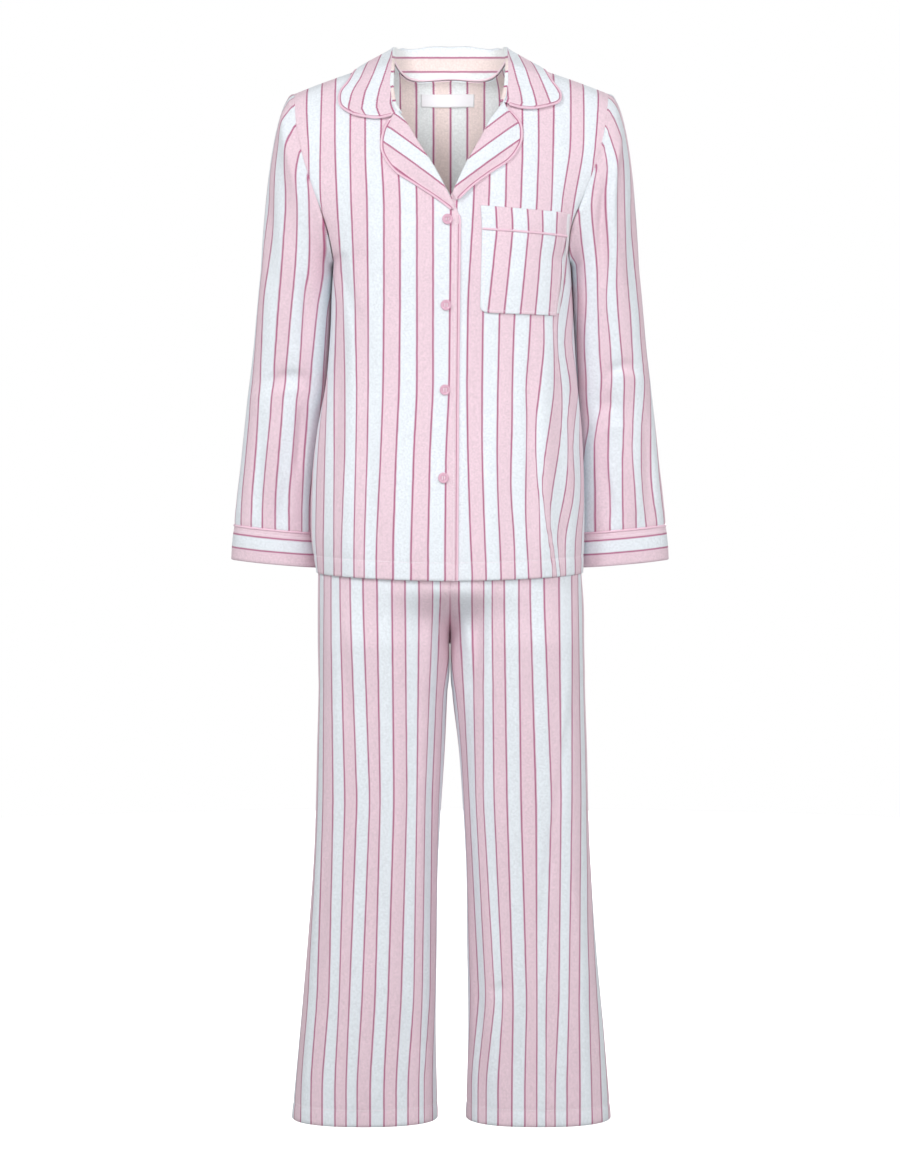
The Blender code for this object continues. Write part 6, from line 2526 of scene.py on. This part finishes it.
@dataclass
class Buttons:
    """The buttons of the shirt, their threads and the buttonholes under them."""

    surface: ShirtSurface
    sewing: Sewing
    finishes: Finishes
    radius: float = 7.0
    height: float = 3.0
    rest: float = 0.4
    hole: float = 0.85
    hole_spread: float = 1.55
    hole_sides: int = 14
    face_share: float = 0.66
    steps: int = 48
    crisp: float = 50.0
    slit: float = 14.4
    slit_lift: float = 0.15
    thread_radius: float = 0.32
    thread_step: float = 0.6

    def profile(self) -> list[tuple[float, float]]:
        """The outline of a button from the middle of its back to the middle of its face.

        Returns:
            The distance from the axis and the height of each point, in millimetres.
        """
        r, h = self.radius, self.height
        return [
            (0.0, 0.0), (r * 0.80, 0.0), (r * 0.93, 0.35), (r * 0.99, h * 0.40), (r, h * 0.62),
            (r * 0.97, h * 0.84), (r * 0.88, h * 0.97), (r * 0.78, h), (r * 0.68, h * 0.95),
            (r * 0.60, h * 0.80), (r * 0.52, h * 0.70), (r * 0.40, h * 0.67), (0.0, h * self.face_share),
        ]

    def disc(self) -> Thing:
        """A button round its own axis, without its holes.

        Returns:
            The object, in metres.
        """
        work = bmesh.new()
        line = [work.verts.new((x * MM, 0.0, z * MM)) for x, z in self.profile()]
        edges = [work.edges.new(pair) for pair in zip(line, line[1:])]
        bmesh.ops.spin(
            work, geom=line + edges, axis=(0, 0, 1), cent=(0, 0, 0), steps=self.steps, angle=2 * math.pi,
            use_merge=True,
        )
        bmesh.ops.remove_doubles(work, verts=work.verts[:], dist=WELD / 2)
        bmesh.ops.recalc_face_normals(work, faces=work.faces[:])
        mesh = bpy.data.meshes.new("button_blank")
        work.to_mesh(mesh)
        work.free()
        return shown("button_blank", mesh)

    def drills(self) -> Thing:
        """The four round bars that cut a button's holes.

        Returns:
            The object, in metres.
        """
        work = bmesh.new()
        spread, radius = self.hole_spread * MM, self.hole * MM
        for x in (-spread, spread):
            for y in (-spread, spread):
                made = bmesh.ops.create_cone(
                    work, cap_ends=True, segments=self.hole_sides, radius1=radius, radius2=radius, depth=0.02
                )
                bmesh.ops.translate(work, verts=made["verts"], vec=(x, y, 0))
        mesh = bpy.data.meshes.new("button_drills")
        work.to_mesh(mesh)
        work.free()
        return shown("button_drills", mesh)

    def blank(self) -> bpy.types.Mesh:
        """One button round its own axis, with its holes cut.

        Returns:
            The mesh, in metres.
        """
        disc, drills = self.disc(), self.drills()
        cut = disc.modifiers.new("holes", "BOOLEAN")
        cut.operation, cut.object = "DIFFERENCE", drills
        graph = bpy.context.evaluated_depsgraph_get()
        result = bpy.data.meshes.new_from_object(disc.evaluated_get(graph))
        for item in (disc, drills):
            bpy.data.objects.remove(item, do_unlink=True)
        return result

    def build(self) -> None:
        """Builds each button, with its threads and buttonhole."""
        blank = self.blank()
        threads, slits = [], []
        for number, spot in enumerate(BUTTONS, start=1):
            out = Vector(self.surface.out(Face.FRONT, spot.x, spot.z))
            seat = Vector(self.surface.at(Face.FRONT, spot.x, spot.z)) + out * self.rest
            turn = out.to_track_quat("Z", "Y").to_matrix()
            mesh = blank.copy()
            mesh.name = f"button_disc_{number}"
            mesh.transform(turn.to_4x4())
            mesh.transform(Matrix.Translation(seat * MM))
            mesh.materials.clear()
            mesh.materials.append(self.finishes.button)
            mesh.shade_smooth()
            mesh.set_sharp_from_angle(angle=math.radians(self.crisp))
            declare(shown(f"button_disc_{number}", mesh), [f"button_{number}"])
            threads += self.threads(seat, turn)
            z = np.linspace(spot.z - self.slit / 2, spot.z + self.slit / 2, 20)
            lift = np.full(z.shape, self.slit_lift)
            slits.append(self.surface.over(Face.FRONT, np.full(z.shape, spot.x), z, lift))
        values = {"Radius": self.thread_radius * MM, "Step": self.thread_step * MM}
        values["Material"] = self.finishes.thread
        declare(self.sewing.run("button_threads", self.sewing.cord_tree, threads, values), [])
        self.sewing.stitches("buttonhole_threads", slits, BUTTONHOLE_THREAD, across=(1.0, 0.0, 0.0))

    def threads(self, seat: Vector, turn: Matrix) -> list[Array]:
        """The two threads of a button, each through two holes.

        Args:
            seat: The middle of the button's back.
            turn: How the button is turned.

        Returns:
            A line of points for each thread.
        """
        top = self.height * self.face_share + 0.1
        lines = []
        for x in (-1, 1):
            ends = []
            for y, rise in ((-1.25, -0.5), (-0.6, 0.35), (0.6, 0.35), (1.25, -0.5)):
                local = Vector((x * self.hole_spread, y * self.hole_spread, top + rise))
                ends.append(seat + turn @ local)
            lines.append(spaced(np.array(ends), 8))
        return lines


@dataclass
class NeckLabel:
    """The bare satin label inside the back of the neck."""

    surface: ShirtSurface
    sewing: Sewing
    finishes: Finishes
    left: float = -39.5
    right: float = 33.0
    top: float = -1.0
    low: float = -17.5
    rest: float = 1.65
    wall: float = 0.6
    bow: float = 0.9
    cut: Cut = (0.073, 0.018, 0.0013)

    def build(self) -> None:
        """Builds the label and the stitches at its ends."""
        x = np.linspace(self.left, self.right, 50)[:, None]
        share = np.linspace(0, 1, 14)[None, :]
        z = self.top + (self.low - self.top) * share + 0.3 * np.sin(x / 9)
        middle = 1 - np.abs(2 * (x - self.left) / (self.right - self.left) - 1)
        lift = -WALL - self.rest + 0.7 - self.bow * share**2 * (0.5 + middle) - 0.25 * np.sin(x / 7) * share
        grid = self.surface.over(Face.BACK, x, z, lift)
        cores = np.tile([0.0, 300.0, 0.0], (len(grid), 1))
        cut = np.stack([x * MM + 0 * z, z * MM], axis=-1)
        cloth = Cloth("label_satin", grid, cut, cores, self.wall)
        item = cloth.build(self.finishes.satin, self.finishes.satin)
        declare(item, ["neck_label"])
        raised = grid + outward_normals(grid, cores) * 0.15
        self.sewing.stitches("label_stitches", [raised[1], raised[-2]], LABEL_THREAD)


# -------------------- the trousers


@dataclass
class Trousers:
    """The four trouser panels, their hems and the elastic waistband."""

    sewing: Sewing
    finishes: Finishes
    cells: int = 62
    rows_hip: int = 44
    rows_crotch: int = 26
    rows_leg: int = 150
    seat_edge: float = 0.3
    hem_depth: float = 22.0
    leg_middle: float = 95.0
    seam_shade_radius: float = 0.9
    seam_below_waist: float = 20.0
    crotch_z: float = -742.0
    crotch_reach: float = 58.0
    crotch_hold: float = 0.65
    band_inset: float = 1.5
    cut_panel: Cut = (0.29, 0.95, 0.225)
    cut_band: Cut = (0.86, 0.038, 0.0326)

    def hip_line(self, side: Side, face: Face, z: float) -> Array:
        """One half of a section round the hips, from the middle to the side seam.

        Args:
            side: The wearer's side.
            face: Front or back.
            z: The height of the section.

        Returns:
            The points.
        """
        row = row_at(HIPS, place_at(HIPS, max(min(z, HIPS[0].z), HIPS[-1].z)))
        half = row.right if side is Side.RIGHT else row.left
        depth = row.front if face is Face.FRONT else row.back
        spread = np.sin(np.linspace(math.asin(self.seat_edge / half), math.pi / 2, 110))
        reach = np.clip(1 - spread**LEG_POWER, 0, None) ** (1 / LEG_POWER)
        return np.stack([side.value * half * spread, face.value * depth * reach, 0 * spread + z], axis=-1)

    def leg_line(self, side: Side, face: Face, z: float) -> Array:
        """One half of a section round a leg, from the inside seam to the side seam.

        Args:
            side: The wearer's side.
            face: Front or back.
            z: The height of the section.

        Returns:
            The points.
        """
        row = row_at(LEGS, place_at(LEGS, min(z, LEGS[0].z)))
        right = side is Side.RIGHT
        outer, inner = (row.right_outer, row.right_inner) if right else (row.left_outer, row.left_inner)
        depth = row.front if face is Face.FRONT else row.back
        turn = np.linspace(math.pi, 0, 160)
        x = (outer + inner) / 2 + (outer - inner) / 2 * fuller(np.cos(turn))
        return np.stack([side.value * x, face.value * depth * fuller(np.sin(turn)), 0 * turn + z], axis=-1)

    def grid(self, side: Side, face: Face) -> Array:
        """The points of one trouser panel, from the waist seam to the hem.

        Args:
            side: The wearer's side.
            face: Front or back.

        Returns:
            The points, rows by columns.
        """
        above = np.linspace(TROUSER_TOP, CROTCH_START, self.rows_hip + 1)
        crotch = np.linspace(CROTCH_START, CROTCH_END, self.rows_crotch + 1)[1:]
        below = np.linspace(CROTCH_END, TROUSER_HEM, self.rows_leg + 1)[1:]
        ends = np.sin(np.linspace(0, math.pi, self.cells + 1)) ** 0.5
        rows = []
        for z in (*above, *crotch, *below):
            parted = float(ease((CROTCH_START - z) / (CROTCH_START - CROTCH_END)))
            line = spaced(self.hip_line(side, face, z), self.cells)
            if parted > 0:
                line = line + (spaced(self.leg_line(side, face, z), self.cells) - line) * parted
            rows.append(line)
        grid = np.array(rows)
        folds = fold_height(LEG_FOLDS, face, grid[:, :, 0], grid[:, :, 2])
        creases = crease_height(LEG_CREASES, face, grid[:, :, 0], grid[:, :, 2])
        grid[:, :, 1] += face.value * (folds + creases) * ends
        return grid

    def build(self) -> None:
        """Builds the panels, the hems' stitches and the waistband."""
        hems = []
        middles: dict[Face, list[Array]] = {face: [] for face in Face}
        for side in Side:
            for face in Face:
                grid, normals = self.panel(side, face)
                middles[face].append(self.middle_seam(grid))
                hems.append(hem_line((grid + normals * 0.12)[::-1], self.hem_depth))
        # Dark cords down the middle seams: the seam allowance, in a colour that is painted shade in the gaps
        # between the panels.
        for face, (right, left) in middles.items():
            self.sewing.shade_cord(f"middle_seam_{face.word}", spaced((right + left) / 2, 90), self.seam_shade_radius)
        self.sewing.stitches("trouser_hem_stitches", hems)
        self.waistband()

    def panel(self, side: Side, face: Face) -> tuple[Array, Array]:
        """Builds one panel.

        Args:
            side: The wearer's side.
            face: Front or back.

        Returns:
            The points of its outer face, and their outward directions before the hem.
        """
        grid = self.grid(side, face)
        cores = upright_cores(grid, x=side.value * self.leg_middle)
        inset(grid, "column_high", SEAM / 2)
        grid = seam_dip(grid, cores, ["column_high", "column_low"], 0.6, 3.0)
        normals = outward_normals(grid, cores)
        rise = grid[:, :, 2] - grid[-1:, :, 2]
        grid = grid + normals * hem_relief(rise, self.hem_depth, 8, 7.0)[..., None]
        chart = STRIPES_LEG_RIGHT if side is Side.RIGHT else STRIPES_LEG_LEFT
        if face is Face.FRONT:
            u = self.held_at_crotch(chart, chart.on_panel(grid), grid, side)
        else:
            u = chart.keeping(0).on_panel(grid)
        cut = np.stack([u, grid[:, :, 2] * MM], axis=-1)
        name = f"{face.word}_{side.word}"
        cloth = Cloth(f"trouser_cloth_{name}", grid, cut, cores, hem_walls(rise, self.hem_depth))
        item = cloth.build(self.finishes.trousers, self.finishes.trousers_inside)
        declare(item, [f"trouser_{name}"])
        return grid, normals

    def middle_seam(self, grid: Array) -> Array:
        """The path of a dark cord just behind a panel's middle edge, from below the waist seam to the crotch:
        the seam allowance there, whose dark colour is painted shade in the gap between the panels.

        Args:
            grid: The points of the panel's outer face.

        Returns:
            The points of the seam.
        """
        near = grid[:, 0] if abs(grid[0, 0, 0]) < abs(grid[0, -1, 0]) else grid[:, -1]
        path = near[(near[:, 2] < TROUSER_TOP - self.seam_below_waist) & (near[:, 2] > CROTCH_END)].copy()
        path[:, 1] -= np.sign(path[:, 1]) * (self.seam_shade_radius + 0.2)
        return path

    def held_at_crotch(self, chart: StripeChart, u: Array, grid: Array, side: Side) -> Array:
        """Widens the innermost band where the cloth turns in at the crotch, so that the fold shows pink.

        Args:
            chart: The stripes of the panel.
            u: The places of its points across the cut, in metres.
            grid: The points.
            side: The wearer's side.

        Returns:
            The new places.
        """
        hold = self.crotch_hold * bell(grid[:, :, 2], self.crotch_z, self.crotch_reach)
        if side is Side.RIGHT:
            return u - np.maximum(u - chart.places.max() * MM, 0.0) * hold
        return u + np.maximum(chart.places.min() * MM - u, 0.0) * hold

    def waistband(self) -> None:
        """The elastic casing, gathered round the waist."""
        turn = np.linspace(0, 2 * math.pi, 16 * WAISTBAND_GATHERS + 1)
        rows = []
        for share in np.linspace(0, 1, 9):
            z = WAISTBAND_TOP + (WAISTBAND_LOW - WAISTBAND_TOP) * share
            wave = 1.4 * np.cos(turn * WAISTBAND_GATHERS + 0.4 * np.sin(turn * 5))
            wave += 0.5 * math.sin(share * 2 * math.pi)
            x = (HIPS[0].right - self.band_inset + wave) * fuller(np.cos(turn))
            y = (HIPS[0].front - self.band_inset + wave) * fuller(np.sin(turn))
            rows.append(np.stack([x, y, 0 * turn + z], axis=-1))
        grid = np.array(rows)
        cut = np.stack([np.broadcast_to(lengths(grid[4]), grid.shape[:2]), grid[:, :, 2]], axis=-1) * MM
        cloth = Cloth("waistband_cloth", grid, cut, grid[:, :-1].mean(axis=1), WALL, closed=True)
        item = cloth.build(self.finishes.trousers, self.finishes.trousers_inside)
        declare(item, ["waistband"])


def fuller(part: Array) -> Array:
    """The sine or cosine of a turn, made fuller, for the sections of the trousers."""
    return np.sign(part) * np.abs(part) ** (2 / LEG_POWER)


# -------------------- the studio


@dataclass
class Studio:
    """A plain pale floor under an even pale sky, soft light and the camera."""

    finishes: Finishes
    floor_z: float = -1.50
    floor_radius: float = 4.0
    sky: float = 0.30
    camera_place: tuple[float, float, float] = (0.0, -4.2, -0.416)
    aim: tuple[float, float, float] = (0.0, 0.0, -0.670)
    frame_height: float = 1.5876
    sensor: float = 24.0

    def build(self) -> None:
        """Builds the floor, the sky, the lights and the camera."""
        self.floor()
        self.world()
        self.lights()
        self.camera()

    def floor(self) -> None:
        """A round pale floor that glows a little, as a lit table does."""
        work = bmesh.new()
        bmesh.ops.create_circle(work, cap_ends=True, segments=96, radius=self.floor_radius)
        mesh = bpy.data.meshes.new("studio_floor")
        work.to_mesh(mesh)
        work.free()
        mesh.transform(Matrix.Translation((0.0, 0.0, self.floor_z)))
        mesh.materials.append(self.finishes.floor)
        item = shown("studio_floor", mesh)
        item.visible_diffuse = False

    def world(self) -> None:
        """A white sky that lights the set softly."""
        world = bpy.data.worlds.new("studio")
        world.use_nodes = True
        nodes, link = world.node_tree.nodes, world.node_tree.links.new
        light = nodes["Background"]
        light.inputs["Color"].default_value = (1.0, 1.0, 1.0, 1.0)
        light.inputs["Strength"].default_value = self.sky
        seen = nodes.new("ShaderNodeBackground")
        seen.inputs["Color"].default_value = (1.0, 1.0, 1.0, 1.0)
        rays = nodes.new("ShaderNodeLightPath")
        both = nodes.new("ShaderNodeMixShader")
        link(rays.outputs["Is Camera Ray"], both.inputs[0])
        link(light.outputs[0], both.inputs[1])
        link(seen.outputs[0], both.inputs[2])
        link(both.outputs[0], nodes["World Output"].inputs["Surface"])
        bpy.context.scene.world = world
        bpy.context.scene.view_settings.view_transform = "Standard"

    def lights(self) -> None:
        """A soft key from the upper left, softer fills round it, and a small light into the neck."""
        middle, neck = Vector((0.0, 0.0, -0.6)), Vector((0.0, 0.12, -0.03))
        for name, place, aim, size, power in (
            ("key", (-1.7, -2.9, 2.2), middle, 0.9, 72.0),
            ("fill", (1.9, -3.3, 1.0), middle, 1.8, 47.0),
            ("front", (0.0, -1.5, -0.60), middle, 0.9, 7.0),
            ("right", (-3.4, -0.6, 0.4), middle, 1.4, 21.0),
            ("left", (3.4, -0.6, 0.4), middle, 1.4, 24.0),
            ("back", (1.2, 4.2, 0.8), middle, 2.4, 104.0),
            ("neck", (0.0, -0.060, -0.055), neck, 0.06, 0.09),
        ):
            lamp = bpy.data.lights.new(name, "AREA")
            lamp.shape, lamp.size, lamp.energy = "SQUARE", size, power
            item = shown(name, lamp)
            item.location = place
            item.rotation_euler = (aim - Vector(place)).to_track_quat("-Z", "Y").to_euler()
            item.visible_camera = False

    def camera(self) -> None:
        """The camera, level with the chest and tipped slightly down."""
        lens = bpy.data.cameras.new("camera")
        place, aim = Vector(self.camera_place), Vector(self.aim)
        lens.sensor_fit = "VERTICAL"
        lens.sensor_height = self.sensor
        lens.lens = self.sensor * (aim - place).length / self.frame_height
        item = shown("camera", lens)
        item.location = place
        item.rotation_euler = (aim - place).to_track_quat("-Z", "Y").to_euler()
        bpy.context.scene.camera = item


def main() -> None:
    """Loads the frame and dresses the set."""
    logging.basicConfig(level=logging.INFO, format="%(message)s")
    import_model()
    finishes = Finishes()
    Studio(finishes).build()
    sewing = Sewing(finishes)
    surface = ShirtSurface()
    Panels(surface, sewing, finishes).build()
    for side in Side:
        Sleeve(side, surface, sewing, finishes).build()
    Collar(surface, sewing, finishes).build()
    for side in Side:
        Lapel(side, surface, sewing, finishes).build()
    Pocket(surface, sewing, finishes).build()
    Buttons(surface, sewing, finishes).build()
    NeckLabel(surface, sewing, finishes).build()
    Trousers(sewing, finishes).build()


if __name__ == "__main__":
    main()
